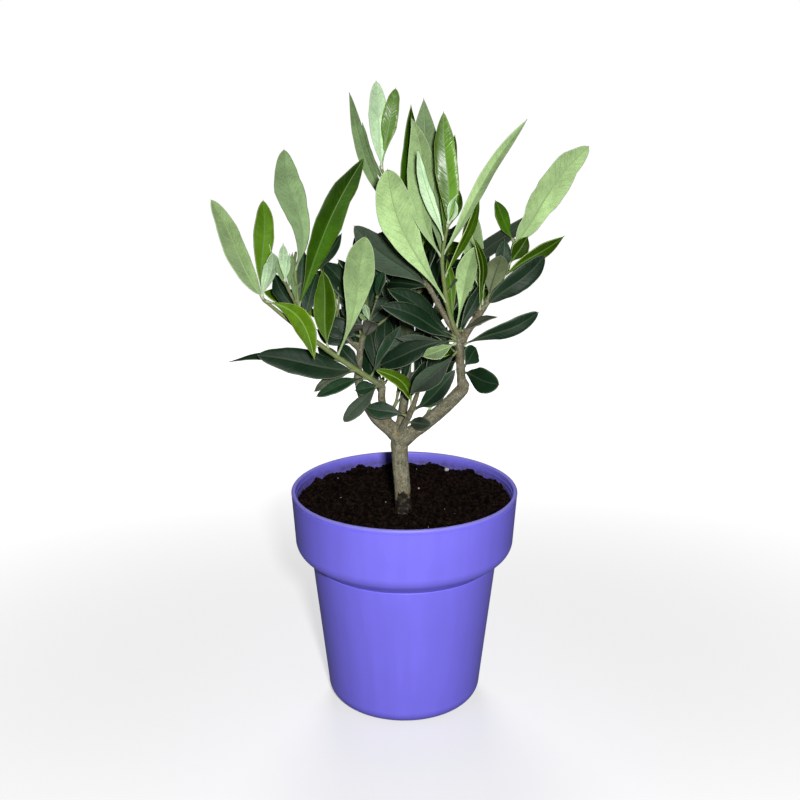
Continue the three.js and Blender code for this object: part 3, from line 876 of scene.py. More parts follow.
def leaf_rows(length, collar):
    """How far out each row of a leaf is, and its place along the blade from 0 to 1."""
    stalk_end = collar + min(STALK_ROWS[-1], STALK_SHARE * length)
    stretch = (stalk_end - collar) / STALK_ROWS[-1]
    u = 0.5 - 0.5 * np.cos(np.pi * np.linspace(0, 1, BLADE_ROWS) ** 0.93)
    stalk = collar + stretch * np.array(STALK_ROWS)
    runs = np.r_[0, stalk, stalk_end + (length - stalk_end) * u[1:], length + TIP_POINT]
    return runs, np.clip((runs - stalk_end) / (length - stalk_end), 0, 1)


def leaf_outline(leaf, u, from_collar, rng):
    """Half the even blade's width, the stalk's radius and both real halves, which bulge unevenly."""
    swell = np.sin(np.pi * u ** (math.log(0.5) / math.log(leaf.peak)))
    power = np.where(u > leaf.peak, 0.95 - 0.5 * leaf.blunt, leaf.taper)
    blade = leaf.width / 2 * np.clip(swell, 0, 1) ** power
    cushion = 0.35 * np.exp(-((from_collar - 0.2) / 0.8) ** 2)
    radius = STALK_RADIUS["least"] + STALK_RADIUS["by_width"] * leaf.width
    stalk = (radius + cushion) * (1 - 0.75 * np.clip(u * 1.4, 0, 1))
    halves = []
    for _ in range(2):
        half = np.sqrt((blade * (1 + leaf.uneven * wander(u, rng))) ** 2 + stalk**2)
        half[-1] = 0.07
        half[-2] = max(half[-2] * 0.6, 0.2)
        halves.append(half)
    return blade, stalk, halves


def leaf_columns(u, halves):
    """How far to the side the points of each row lie, over the upper side and back under it."""
    columns = []
    for half in halves:
        rib = np.minimum(0.16 + 0.36 * (1 - u), 0.34 * half)
        edge = half - np.minimum(MARGIN_WIDTH, 0.28 * half)
        inner = [rib + (edge - rib) * c for c in INNER_COLUMNS]
        columns.append(np.stack([rib, *inner, edge, half], axis=1))
    upper = np.hstack([-columns[0][:, ::-1], np.zeros((len(u), 1)), columns[1]])
    return np.hstack([upper, upper[:, -2:0:-1]])


def leaf_skin(u, stalk, part):
    """How far the skin is off the middle surface: round at the stalk, a thin plate in the blade."""
    plate = np.clip(u * 7, 0, 1)
    flat = BLADE_THICKNESS["foot"] + (BLADE_THICKNESS["tip"] - BLADE_THICKNESS["foot"]) * u
    thick = (stalk + 0.05) * (1 - plate) + flat * plate
    thick[-1] = 0.05
    roundness = (2 + 8 * plate)[:, None]
    off = thick[:, None] * np.sqrt(np.clip(1 - np.clip(part, 0, 1) ** roundness, 0, 1))
    off[:, TOPS:] *= -1
    off[:, MIDDLE_TOP] -= RIB_SINK["upper"] * plate * (1 - 0.7 * u)
    off[:, MIDDLE_UNDER] -= RIB_SINK["under"] * plate * (1 - 0.75 * u)
    return off


def leaf_sections(leaf, u, x, outline, rng):
    """How far to the side and how far up the points of each row lie, once folded and rippled."""
    blade, stalk, halves = outline
    part = np.abs(x) / np.where(x < 0, halves[0][:, None], halves[1][:, None])
    fold = math.radians(leaf.fold) * (0.35 + 0.65 * np.sin(np.pi * np.clip(u, 0.02, 0.98)))[:, None]
    height = (np.sqrt(x**2 + 0.5) - math.sqrt(0.5)) * np.sin(fold)
    height -= leaf.roll * (blade / 6)[:, None] * np.clip((part - 0.7) / 0.3, 0, 1) ** 2
    swing = np.where(x < 0, wander(u * 0.8, rng)[:, None], wander(u * 0.8, rng)[:, None])
    height += 1.6 * leaf.wave * swing * part**2 * np.sin(np.pi * u)[:, None]
    return x * np.cos(fold), height + leaf_skin(u, stalk, part)


def leaf_line(leaf, u, runs, foot, tip, rng):
    """A leaf's bent and twisted centre line: its points, and the ways to its side and up."""
    length = np.linalg.norm(tip - foot)
    chord = (tip - foot) / length
    upward = across(direction(*leaf.faces), chord)
    share = np.clip(runs / length, 0, 1)
    once, twice = np.sin(np.pi * share), np.sin(2 * np.pi * share)
    sway = rng.uniform(-0.018, 0.018, 2)
    line = foot + chord * runs[:, None]
    line += length * upward * (leaf.arch * once - (0.015 + sway[0]) * twice)[:, None]
    line += length * np.cross(chord, upward) * (leaf.bow * once + (leaf.snake + sway[1]) * twice)[:, None]
    ways = unit(np.gradient(line, runs, axis=0))
    ups = unit(upward - (ways @ upward)[:, None] * ways)
    sides = np.cross(ways, ups)
    twist = np.radians(leaf.twist * (u - 0.4))[:, None]
    return line, sides * np.cos(twist) - ups * np.sin(twist), ups * np.cos(twist) + sides * np.sin(twist)


def leaf_looks(rows):
    """The finish of each face of a leaf, in the order in which skin makes them."""
    upper, under, upper_rib, under_rib, edge, stalk, tip = range(len(FINISHES))
    strip = np.full(POINTS_ROUND, upper)
    strip[TOPS - 1:] = under
    strip[[0, TOPS - 2, TOPS - 1, POINTS_ROUND - 1]] = edge
    strip[[MIDDLE_TOP - 1, MIDDLE_TOP]] = upper_rib
    strip[[MIDDLE_UNDER - 1, MIDDLE_UNDER]] = under_rib
    walls = np.tile(strip, (rows - 1, 1))
    walls[: len(STALK_ROWS)] = stalk
    walls[-2:] = tip
    caps = POINTS_ROUND // 2 - 1
    return np.r_[walls.ravel(), [tip] * caps, [stalk] * caps]


def leaf_shell(leaf, number):
    """Points, quads, finishes, and across, along and share for each point, of one closed leaf."""
    rng = dice(f"{leaf.stem} {number}")
    stem = stems[leaf.stem]
    foot, tip = stem.point(leaf.at), np.array(leaf.tip, float)
    length = np.linalg.norm(tip - foot)
    collar = stem.radius(leaf.at)
    runs, u = leaf_rows(length, collar)
    outline = leaf_outline(leaf, u, runs - collar, rng)
    x = leaf_columns(u, outline[-1])
    spread, height = leaf_sections(leaf, u, x, outline, rng)
    line, sides, ups = leaf_line(leaf, u, runs, foot, tip, rng)
    rings = line[:, None] + sides[:, None] * spread[..., None] + ups[:, None] * height[..., None]
    points, quads = skin(rings)
    along = np.broadcast_to(runs[:, None], x.shape).ravel()
    return points, quads, leaf_looks(len(runs)), np.stack([x.ravel(), along], axis=1), along / length


def make_spray(mass, leaves):
    """All leaves of one packed mass as one piece, with a set of finishes for each kind of leaf."""
    kinds = sorted({leaf.kind for leaf in leaves})
    parts, looks, flats, shares, tones = [], [], [], [], []
    for number, leaf in enumerate(leaves):
        points, quads, look, flat, share = leaf_shell(leaf, number)
        parts.append((points, quads))
        looks.append(look + len(FINISHES) * kinds.index(leaf.kind))
        flats.append(flat)
        shares.append(share)
        # tone, with split painted in as light and shade: one half of each leaf lighter than the other
        tones.append(leaf.tone * (1 + leaf.split * np.clip(flat[:, 0] / 0.6, -1, 1)))
    points, quads = joined(parts)
    name = mass.replace("_leaves", "_spray")
    mesh = mesh_of(name, points, quads)
    piece = piece_of(name, mesh, [leaf_finish(kind, part) for kind in kinds for part in FINISHES])
    mesh.polygons.foreach_set("material_index", np.concatenate(looks).astype(np.int32))
    write_attribute(mesh, "share", np.concatenate(shares))
    write_attribute(mesh, "tone", np.concatenate(tones))
    flat = np.vstack(flats)[quads.ravel()] / 100 + [0.5, 0]  # one across and along unit is 100 mm
    write_numbers(mesh.uv_layers.new(name="blade").data, "uv", flat)
    mesh.update()
    return piece


# ---------------------------------------------------------------- shader tools


def is_vector(thing):
    if isinstance(thing, Signal):
        return thing.socket.type in ("VECTOR", "RGBA")
    return isinstance(thing, tuple)


class Signal:
    """A number, vector or colour that runs through a node tree, and the sums that are done with it."""

    def __init__(self, node, key=0):
        self.tree, self.socket = node.id_data, node.outputs[key]

    def worked(self, operation, a, b=0.0):
        kind = "ShaderNodeVectorMath" if is_vector(self) else "ShaderNodeMath"
        return Signal(put(self.tree, kind, {0: a, 1: b}, operation=operation))

    def __add__(self, other):
        return self.worked("ADD", self, other)

    def __sub__(self, other):
        return self.worked("SUBTRACT", self, other)

    def __rsub__(self, other):
        return self.worked("SUBTRACT", other, self)

    def __mul__(self, other):
        if is_vector(self) and not is_vector(other):
            inputs = {0: self, "Scale": other}
            return Signal(put(self.tree, "ShaderNodeVectorMath", inputs, operation="SCALE"))
        return self.worked("MULTIPLY", self, other)

    def __abs__(self):
        return self.worked("ABSOLUTE", self)


def put(tree, kind, inputs=None, **settings):
    """Adds a node, sets it, and feeds its inputs with values or with signals."""
    node = tree.nodes.new(kind)
    for name, value in settings.items():
        setattr(node, name, value)
    for key, value in (inputs or {}).items():
        if isinstance(value, Signal):
            tree.links.new(value.socket, node.inputs[key])
        else:
            node.inputs[key].default_value = value
    return node


def larger(a, b):
    return a.worked("MAXIMUM", a, b)


def mixed(share, a, b):
    """Colour a, or b where share is 1."""
    return Signal(put(share.tree, "ShaderNodeMix", {0: share, 6: a, 7: b}, data_type="RGBA"), 2)


def ramped(value, low, high, to_low=0.0, to_high=1.0):
    """Smoothly from to_low at low to to_high at high."""
    inputs = {0: value, 1: low, 2: high, 3: to_low, 4: to_high}
    return Signal(put(value.tree, "ShaderNodeMapRange", inputs, interpolation_type="SMOOTHSTEP"))


def speckled(place, scale, detail=2.0, roughness=0.5):
    inputs = {"Vector": place, "Scale": scale, "Detail": detail, "Roughness": roughness}
    return Signal(put(place.tree, "ShaderNodeTexNoise", inputs), "Fac")


SOCKETS = {"Colour": "Color", "Place": "Vector", "Flat": "Vector", "Grain": "Vector"}


def look(name, inputs):
    """A shader group with the named inputs and the outputs Color, Roughness and Height."""
    tree = bpy.data.node_groups.new(name, "ShaderNodeTree")
    for label in inputs:
        kind = SOCKETS.get(label.split()[-1], "Float")
        tree.interface.new_socket(label, in_out="INPUT", socket_type="NodeSocket" + kind)
    for label, kind in (("Color", "Color"), ("Roughness", "Float"), ("Height", "Float")):
        tree.interface.new_socket(label, in_out="OUTPUT", socket_type="NodeSocket" + kind)
    start = tree.nodes.new("NodeGroupInput")
    return tree, {label: Signal(start, label) for label in inputs}


def close_look(tree, colour, roughness, height):
    put(tree, "NodeGroupOutput", {"Color": colour, "Roughness": roughness, "Height": height})
    return tree


def rgba(colour):
    return (*colour, 1.0)


# ---------------------------------------------------------------- shared looks


def build_leaf_tissue():
    """The blade between the rib and the margin: thin side veins, blotches and fine flecks."""
    tree, given = look("leaf tissue", [
        "Place", "Flat", "Share", "Tone", "Colour", "Foot Colour", "Tip Shade", "Mottle", "Fleck",
        "Vein Tint", "Pucker", "Base Roughness",
    ])
    flat = put(tree, "ShaderNodeSeparateXYZ", {0: given["Flat"]})
    off_rib = abs(Signal(flat, 0) - 0.5) * 100.0
    slant = Signal(flat, 1) * 100.0 - off_rib
    vein_place = Signal(put(tree, "ShaderNodeCombineXYZ", {0: slant * 0.34, 1: off_rib * 0.1}))
    vein_place = vein_place + given["Place"] * 25.0
    veins = ramped(abs(speckled(vein_place, 1.0, 1.0) - 0.5), 0.0, 0.045, 1.0, 0.0)
    puckers = speckled(vein_place * 1.7, 1.0, 1.0, 0.5)
    blotches = (speckled(given["Place"], 130.0, 3.0, 0.6) - 0.5) * given["Mottle"]
    flecks = speckled(given["Place"], 1900.0, 2.0, 0.7)
    shade = blotches + (flecks - 0.5) * given["Fleck"] + veins * given["Vein Tint"]
    shade = shade + 1.0 - ramped(given["Share"], 0.35, 0.95) * given["Tip Shade"]
    colour = mixed(ramped(given["Share"], 0.08, 0.42), given["Foot Colour"], given["Colour"])
    colour = colour * (shade * given["Tone"])
    height = veins + flecks * given["Fleck"] + puckers * given["Pucker"]
    return close_look(tree, colour, blotches * 0.25 + given["Base Roughness"], height)


def build_bark_skin():
    """Smooth grey bark with streaks along the stem, warts, green young wood and a soil stain."""
    tree, given = look("bark skin", [
        "Place", "Grain", "Green Share", "Stain Share", "Tone", "Bark Colour", "Streak Colour",
        "Tan Colour", "Green Colour", "Stain Colour",
    ])
    place, green_share, stain_share = given["Place"], given["Green Share"], given["Stain Share"]
    streaks = speckled(given["Grain"] * (0.7, 0.7, 1.0), 1.0, 4.0, 0.65)
    patches = speckled(place, 150.0, 3.0, 0.55)
    clouds = speckled(place, 330.0, 3.0, 0.6)
    specks = speckled(place, 1500.0, 2.0, 0.6)
    dots = Signal(put(tree, "ShaderNodeTexVoronoi", {"Vector": place, "Scale": 620.0}), "Distance")
    colour = mixed(ramped(streaks, 0.42, 0.62), given["Bark Colour"], given["Streak Colour"])
    tan = larger(ramped(patches, 0.5, 0.64, 0.0, 0.6), ramped(stain_share, 0.0, 0.4, 0.0, 0.85))
    colour = mixed(tan, colour, given["Tan Colour"]) * given["Tone"]
    green = mixed(ramped(streaks, 0.4, 0.62, 0.0, 0.2), given["Green Colour"], given["Streak Colour"])
    colour = mixed(green_share, colour, green)
    dark = ramped(specks, 0.48, 0.66, 0.0, -0.5) + ramped(dots, 0.1, 0.32, 0.42, 0.0)
    dark = dark + ramped(clouds, 0.34, 0.66, -0.14, 0.16)
    calm = 1.0 - green_share * 0.75
    colour = colour * (dark * calm + 1.0)
    ragged = specks + patches * 1.6
    stain = ramped(stain_share * 2.0 + (ragged - 1.3), 0.35, 0.7) * ramped(clouds, 0.46, 0.66, 1.0, 0.72)
    colour = mixed(stain, colour, given["Stain Colour"])
    height = (streaks * 0.8 + specks * 0.5) * calm
    return close_look(tree, colour, 0.86 - green_share * 0.32, height)


def build_moulded_plastic():
    """Satin plastic: faint upright banding, cloudy sheen, a painted highlight on the lip, a few scuffs and
    painted shade inside.
    """
    tree, given = look("moulded plastic", [
        "Place", "Inside Share", "Lip Share", "Colour", "Lip Colour", "Scuff Colour", "Dirt Colour",
    ])
    place = given["Place"]
    bands = speckled(place * (1.0, 1.0, 0.04), 160.0, 2.0)
    clouds = speckled(place, 38.0, 3.0, 0.6)
    spots = put(tree, "ShaderNodeTexVoronoi", {"Vector": place, "Scale": 34.0, "Randomness": 1.0})
    near_spot = ramped(Signal(spots, "Distance"), 0.03, 0.13, 1.0, 0.0)
    chosen = Signal(put(tree, "ShaderNodeSeparateXYZ", {0: Signal(spots, "Color")}))
    frayed = ramped(speckled(place, 900.0, 3.0, 0.7), 0.4, 0.7)
    scuff = near_spot * frayed * ramped(chosen, 0.72, 0.8)
    shade = ramped(bands, 0.3, 0.7, 0.975, 1.025) + ramped(clouds, 0.3, 0.7, -0.02, 0.02)
    # painted highlight: a paler colour along the top of the lip
    colour = mixed(given["Lip Share"], given["Colour"], given["Lip Colour"]) * shade
    colour = mixed(scuff * 0.5, colour, given["Scuff Colour"])
    # painted shade: the inside wall darker deeper down, in blotches
    shade_blotches = ramped(speckled(place, 260.0, 4.0, 0.7), 0.42, 0.66, 0.62, 0.95)
    colour = mixed(shade_blotches * given["Inside Share"], colour, given["Dirt Colour"])
    roughness = ramped(clouds, 0.3, 0.7, 0.38, 0.46) + scuff * 0.2
    return close_look(tree, colour, roughness, speckled(place, 4200.0, 1.0) + scuff * 2.0)


def build_potting_soil():
    """Damp dark soil, each lump a little browner or blacker than the next."""
    tree, given = look("potting soil", ["Place", "Dark Colour", "Brown Colour", "Dust Colour"])
    lumps = speckled(given["Place"], 420.0, 4.0, 0.65)
    dust = speckled(given["Place"], 1500.0, 2.0, 0.6)
    colour = mixed(ramped(lumps, 0.38, 0.64), given["Dark Colour"], given["Brown Colour"])
    colour = mixed(ramped(dust, 0.66, 0.78), colour, given["Dust Colour"])
    return close_look(tree, colour, ramped(dust, 0.4, 0.6, 0.95, 0.62), lumps + dust)


looks = {
    "tissue": build_leaf_tissue(),
    "bark": build_bark_skin(),
    "plastic": build_moulded_plastic(),
    "soil": build_potting_soil(),
}


# ---------------------------------------------------------------- finishes

finishes = {}


def finish(name, shared=None, inputs=None, depth=0.0, **settings):
    """A material, made once, that may wear one of the shared looks.

    An input that is a text names an attribute of the mesh. depth is the relief in millimetres."""
    if name in finishes:
        return finishes[name]
    material = bpy.data.materials.new(name)
    material.use_nodes = True
    tree = material.node_tree
    shader = tree.nodes["Principled BSDF"]
    for key, value in settings.items():
        shader.inputs[key.replace("_", " ")].default_value = value
    if shared:
        fed = {"Place": Signal(put(tree, "ShaderNodeTexCoord"), "Object")}
        for key, value in inputs.items():
            if isinstance(value, str):
                attribute = put(tree, "ShaderNodeAttribute", attribute_name=value)
                fed[key] = Signal(attribute, "Vector" if key in ("Flat", "Grain") else "Fac")
            else:
                fed[key] = rgba(value) if isinstance(value, tuple) else value
        group = put(tree, "ShaderNodeGroup", fed, node_tree=looks[shared])
        bump = put(tree, "ShaderNodeBump", {"Height": Signal(group, "Height"), "Distance": depth * MM})
        for key in ("Color", "Roughness"):
            tree.links.new(group.outputs[key], shader.inputs[key.replace("Color", "Base Color")])
        for key in ("Normal", "Coat Normal") if settings.get("Coat_Weight") else ("Normal",):
            tree.links.new(bump.outputs[0], shader.inputs[key])
    finishes[name] = material
    return material


def leaf_finish(kind, part):
    """The finish of one part of a leaf of a kind: veined tissue, or one plain colour where it is thin."""
    colours = KINDS[kind]
    name = f"{kind} leaf {part}"
    placed = {"Flat": "blade", "Share": "share", "Tone": "tone"}
    if part == "upper":
        return finish(name, "tissue", placed | {
            "Colour": colours.upper,
            "Foot Colour": tuple(0.6 * u + 0.4 * r for u, r in zip(colours.upper, colours.rib)),
            "Tip Shade": colours.tip_shade, "Mottle": 0.9, "Fleck": 0.35, "Vein Tint": 0.2,
            "Pucker": 7.0 * colours.coat, "Base Roughness": colours.rough,
        }, depth=0.05, Coat_Weight=colours.coat, Coat_Roughness=0.36, Specular_IOR_Level=colours.shine)
    if part == "under":
        return finish(name, "tissue", placed | {
            # painted shade: the underside's foot colour is darker where the blade meets the stem
            "Colour": colours.under, "Foot Colour": tuple(0.85 * c for c in colours.under),
            "Tip Shade": 0.15, "Mottle": 0.8, "Fleck": 0.8, "Vein Tint": -0.1, "Pucker": 1.2,
            "Base Roughness": 0.66,
        }, depth=0.07, Specular_IOR_Level=0.3)
    pale = 0.25 * max(0.0, colours.under[1] - 0.1)
    plain = {
        "upper rib": colours.rib,
        "under rib": tuple(0.6 * u + 0.2 * r for u, r in zip(colours.under, colours.rib)),
        "edge": colours.edge,
        "stalk": (0.16 + 2.2 * pale, 0.20 + 2.5 * pale, 0.08 + 2.0 * pale),
        "tip": (0.16, 0.14, 0.06),
    }[part]
    return finish(name, Base_Color=rgba(plain), Roughness=0.5, Specular_IOR_Level=0.25)


def bark_finish():
    return finish("grey olive bark", "bark", {
        "Grain": "grain", "Green Share": "green", "Stain Share": "stain", "Tone": "tone",
        "Bark Colour": (0.17, 0.162, 0.105), "Streak Colour": (0.26, 0.25, 0.17),
        "Tan Colour": (0.22, 0.165, 0.085), "Green Colour": (0.155, 0.205, 0.06),
        "Stain Colour": (0.006, 0.0043, 0.003),
    }, depth=0.14, Specular_IOR_Level=0.3)


def pot_finish():
    return finish("violet satin plastic", "plastic", {
        "Inside Share": "inside", "Lip Share": "lip", "Colour": (0.208, 0.178, 0.90),
        # a paler violet, the painted highlight on the lip
        "Lip Colour": (0.25, 0.225, 0.74), "Scuff Colour": (0.34, 0.32, 0.95),
        # a darker violet, painted in as shade inside the pot
        "Dirt Colour": (0.075, 0.06, 0.11),
    }, depth=0.012, Specular_IOR_Level=0.35)


def soil_finish(name, dark, brown, dust):
    return finish(name, "soil", {
        "Dark Colour": dark, "Brown Colour": brown, "Dust Colour": dust,
    }, depth=0.35, Specular_IOR_Level=0.04)


# ---------------------------------------------------------------- bark and green shoots

TUBE_SIDES = 18
COLLAR = {"share": 0.4, "height": 2.2}  # how a limb swells where it leaves another, by its radius and mm
NODE_SWELLING = {"extra": 0.2, "reach": 1.3}  # mm, where a leaf leaves a stem
TRUNK_TOP = {"extra": 0.35, "share": 0.93, "reach": 5}  # the trunk swells again where the boughs part
AROUND = np.array([0.31, 0.87, 0.2])  # the way that places round a stem are counted from
SLIM = {"right_upright": 0.84, "front_shoot": 0.85}
TRUNK_FLARE = {"extra": 0.9, "height": 5.0}
STAIN_HEIGHT = 8.0  # mm of the trunk's foot that the soil has stained
STAIN_REACH = 14  # mm round the trunk's foot, past which nothing is stained
MOST_STAIN = 0.62
BOUGH_TONE = 0.78  # boughs are darker than the trunk
TRUNK_GIRTH = {"from": 2.9, "over": 0.9}  # mm of radius over which the tone becomes the trunk's


def tube(stem):
    """A closed round skin along a stem, swollen at its foot and wherever a leaf leaves it."""
    line, run = stem.line, stem.run
    radii = stem.radii.copy()
    if stem.name == "trunk":
        radii += TRUNK_FLARE["extra"] * np.exp(-run / TRUNK_FLARE["height"])
        off_top = run - TRUNK_TOP["share"] * stem.length
        radii += TRUNK_TOP["extra"] * np.exp(-((off_top / TRUNK_TOP["reach"]) ** 2))
    else:
        radii *= SLIM.get(stem.name, 1.0)
        radii *= 1 + COLLAR["share"] * np.exp(-((run / (COLLAR["height"] + radii[0])) ** 2))
    if stem.nodes:
        off_nodes = np.abs(run[:, None] - np.array(stem.nodes) * stem.length).min(axis=1)
        radii += NODE_SWELLING["extra"] * np.exp(-((off_nodes / NODE_SWELLING["reach"]) ** 2))
    from_tip = stem.length - run
    rounding = radii[-1] * 1.4
    radii *= np.sqrt(np.clip(1 - np.clip(1 - from_tip / rounding, 0, 0.99) ** 2, 0.02, 1))
    ways = unit(np.gradient(line, run, axis=0))
    start = across(AROUND, ways[0])
    angles = np.linspace(0, 2 * np.pi, TUBE_SIDES, endpoint=False)
    rings = []
    for place, way, radius in zip(line, ways, radii):
        start = across(start, way)
        beside = np.cross(way, start)
        rings.append(place + radius * (np.outer(np.cos(angles), start) + np.outer(np.sin(angles), beside)))
    return skin(np.array(rings))


def stem_facts(points, members):
    """For each point: its place along and around the nearest stem, that stem's green and its radius."""
    best = np.full(len(points), np.inf)
    grain, green, girth = np.zeros((len(points), 3)), np.zeros(len(points)), np.ones(len(points))
    for stem in members:
        low, high = stem.line.min(axis=0) - 9, stem.line.max(axis=0) + 9
        near = np.flatnonzero(((points > low) & (points < high)).all(axis=1))
        if not len(near):
            continue
        line = stem.line[::2]
        index = np.concatenate([
            np.linalg.norm(part[:, None] - line, axis=2).argmin(axis=1)
            for part in np.array_split(points[near], max(1, len(near) // 4000))
        ]) * 2
        off = points[near] - stem.line[index]
        depth = np.linalg.norm(off, axis=1) - stem.radii[index]
        closer = depth < best[near]
        chosen, index, off = near[closer], index[closer], off[closer]
        best[chosen] = depth[closer]
        way = stem.way(0.5)
        first = across(AROUND, way)
        second = np.cross(way, first)
        grain[chosen] = np.stack([off @ first, off @ second, stem.run[index] * 0.16], axis=1)
        green[chosen], girth[chosen] = stem.green[index], stem.radii[index]
    return grain, green, girth


def make_stems(name, members, voxel, relief):
    """Stems melted into one skin with bark relief that follows their grain."""
    points, quads = joined([tube(stem) for stem in members])
    piece = piece_of(name, mesh_of(name, points, quads))
    melt = piece.modifiers.new("melt", "REMESH")
    melt.mode = "VOXEL"
    melt.voxel_size = voxel * MM
    soften = piece.modifiers.new("soften", "SMOOTH")
    soften.factor, soften.iterations = 0.5, 6
    apply_modifiers(piece)
    mesh = piece.data
    mesh.name = name
    mesh.polygons.foreach_set("use_smooth", np.ones(len(mesh.polygons), bool))
    places, normals = places_of(mesh), normals_of(mesh)
    grain, green, girth = stem_facts(places, members)
    ridges = 0.4 * ripples(grain, 2.6) + 0.2 * ripples(grain * [1, 1, 0.35], 0.9, 2)
    warts = np.clip(ripples(places, 2.1, 2) - 0.32, 0, 1) * 1.1
    swell = ripples(places, 7.0, 2) * np.clip(girth / 4, 0, 1)
    heights = relief * ((ridges + warts) * (1 - 0.75 * green) * np.clip(girth / 2.5, 0.3, 1) + swell)
    places += normals * heights[:, None]
    write_numbers(mesh.vertices, "co", places * MM)
    above = places[:, 2] - SOIL_TOP
    off_trunk = np.linalg.norm((places - stems["trunk"].line[0])[:, :2], axis=1)
    stain = 1.5 - (above + 3.5 * ripples(places, 3.2)) / STAIN_HEIGHT
    write_attribute(mesh, "grain", grain)
    write_attribute(mesh, "green", green)
    write_attribute(mesh, "stain", np.clip(stain, 0, MOST_STAIN) * (off_trunk < STAIN_REACH))
    trunk_share = np.clip((girth - TRUNK_GIRTH["from"]) / TRUNK_GIRTH["over"], 0, 1)
    write_attribute(mesh, "tone", BOUGH_TONE + (1 - BOUGH_TONE) * trunk_share)
    mesh.update()
    mesh.materials.append(bark_finish())
    return piece


# ---------------------------------------------------------------- pot

POT_SIDES = 192
SHARP_FROM = 38  # degrees between faces
LIP_HIGHLIGHT = {"height": 1.5, "fade": 0.8}  # mm of the rim that is paler, a painted highlight along the top of the lip
# mm below the soil's top that the painted shade inside the pot reaches
PAINTED_SHADE_BELOW_SOIL = 12


def bend(r, z, radius, start, end, steps):
    """Points of an arc round r, z between two angles in degrees."""
    angles = np.radians(np.linspace(start, end, steps))
    return np.stack([r + radius * np.cos(angles), z + radius * np.sin(angles)], axis=1)


def wall_radius(z):
    """Outside radius of the rim band at a height."""
    low = POT["height"] - POT["band_depth"]
    return POT["band_radius"] + (POT["rim"] - POT["band_radius"]) * (z - low) / POT["band_depth"]


def pot_profile():
    """The pot's outline from the middle of its underside, up its outside and down its inside."""
    top, wall, floor = POT["height"], POT["wall"], POT["floor"]
    crease, band_low = top - POT["crease_depth"], top - POT["band_depth"]
    foot, rounding = POT["foot_radius"], POT["foot_rounding"]
    recess, ring, corner = POT["recess_depth"], POT["recess_radius"], 0.4
    lip = wall / 2
    groove = top - POT["bead"]

    def body(z):
        return foot + (POT["crease_radius"] - foot) * (z - rounding) / (crease - rounding)

    outside = [
        [[r, recess] for r in (2, 12, 24, ring - 0.6)],
        bend(ring - corner, recess - corner, corner, 90, 0, 4),
        bend(ring + 2 * corner, corner, corner, 180, 270, 4),
        bend(foot - rounding, rounding, rounding, -90, 0, 18),
        [[body(z), z] for z in np.linspace(rounding + 3, crease - 1.2, 14)],
        [[body(crease) - 0.05, crease - 0.35], [POT["crease_radius"] - 0.3, crease]],
        bend(POT["band_radius"] - POT["shoulder_radius"], band_low, POT["shoulder_radius"],
             POT["shoulder_start"], 0, 20),
        [[wall_radius(z), z] for z in np.linspace(band_low + 3, groove - 0.9, 8)],
        [[wall_radius(groove) - 0.02, groove - 0.45], [wall_radius(groove) - POT["groove"], groove - 0.2],
         [wall_radius(groove) - POT["groove"], groove + 0.05], [POT["rim"] - 0.1, groove + 0.3]],
        bend(POT["rim"] - lip, top - lip, lip, 0, 180, 15),
    ]
    inner = POT["rim"] - wall
    inside = [
        [[inner - 0.05, top - 2.4], [inner - 0.12, top - 2.9]],
        [[inner - POT["ledge"], top - 3.2], [inner - POT["ledge"] - 0.04, top - 4.6],
         [inner - POT["ledge"] - 0.1, top - 5.2], [inner - 2 * POT["ledge"], top - 5.5]],
        [[POT["band_radius"] - wall - 0.3, band_low], [POT["crease_radius"] - wall, crease],
         [body(floor + rounding) - wall, floor + rounding]],
        bend(foot - rounding, floor + rounding - wall, rounding - wall, 0, -90, 8),
        [[24, floor], [12, floor], [2, floor]],
    ]
    return np.vstack(outside + inside)


def spun(profile, sides):
    """Rings of points that a profile of radii and heights makes round +Z."""
    angles = np.linspace(0, 2 * np.pi, sides, endpoint=False)
    r, z = profile[:, :1], profile[:, 1:]
    return np.stack([r * np.cos(angles), r * np.sin(angles), z + 0 * angles], axis=-1)


def make_pot():
    points, quads = skin(spun(pot_profile(), POT_SIDES))
    mesh = mesh_of("pot_shell", points, quads)
    out, up = np.hypot(points[:, 0], points[:, 1]), points[:, 2]
    lip_foot = POT["height"] - LIP_HIGHLIGHT["height"]
    # painted shade: the inside wall darkens from below the lip down towards the soil
    depth = np.clip(1.6 * (lip_foot - up) / (POT["height"] - SOIL_TOP), 0, 1)
    within = out < wall_radius(up) - 0.6 * POT["wall"]
    write_attribute(mesh, "inside", depth * within * (up > SOIL_TOP - PAINTED_SHADE_BELOW_SOIL))
    # painted highlight on the top of the lip
    write_attribute(mesh, "lip", np.clip((up - lip_foot) / LIP_HIGHLIGHT["fade"], 0, 1))
    mesh.set_sharp_from_angle(angle=math.radians(SHARP_FROM))
    return piece_of("pot_shell", mesh, [pot_finish()])


# ---------------------------------------------------------------- soil

SOIL_SIDES = 264
SOIL_RINGS = 96
CLODS = {"height": 1.7, "size": 7.0}
LUMPS = {"height": 0.7, "size": 1.9}
TRUNK_RISE = {"height": 1.7, "reach": 9}
RAGGED_EDGE = {"height": 1.9, "size": 4.2, "from": 47, "over": 9}


def inner_wall(z):
    """Radius of the pot's inside below its ledge at a height."""
    return wall_radius(z) - POT["wall"] - 2 * POT["ledge"] + 0.1


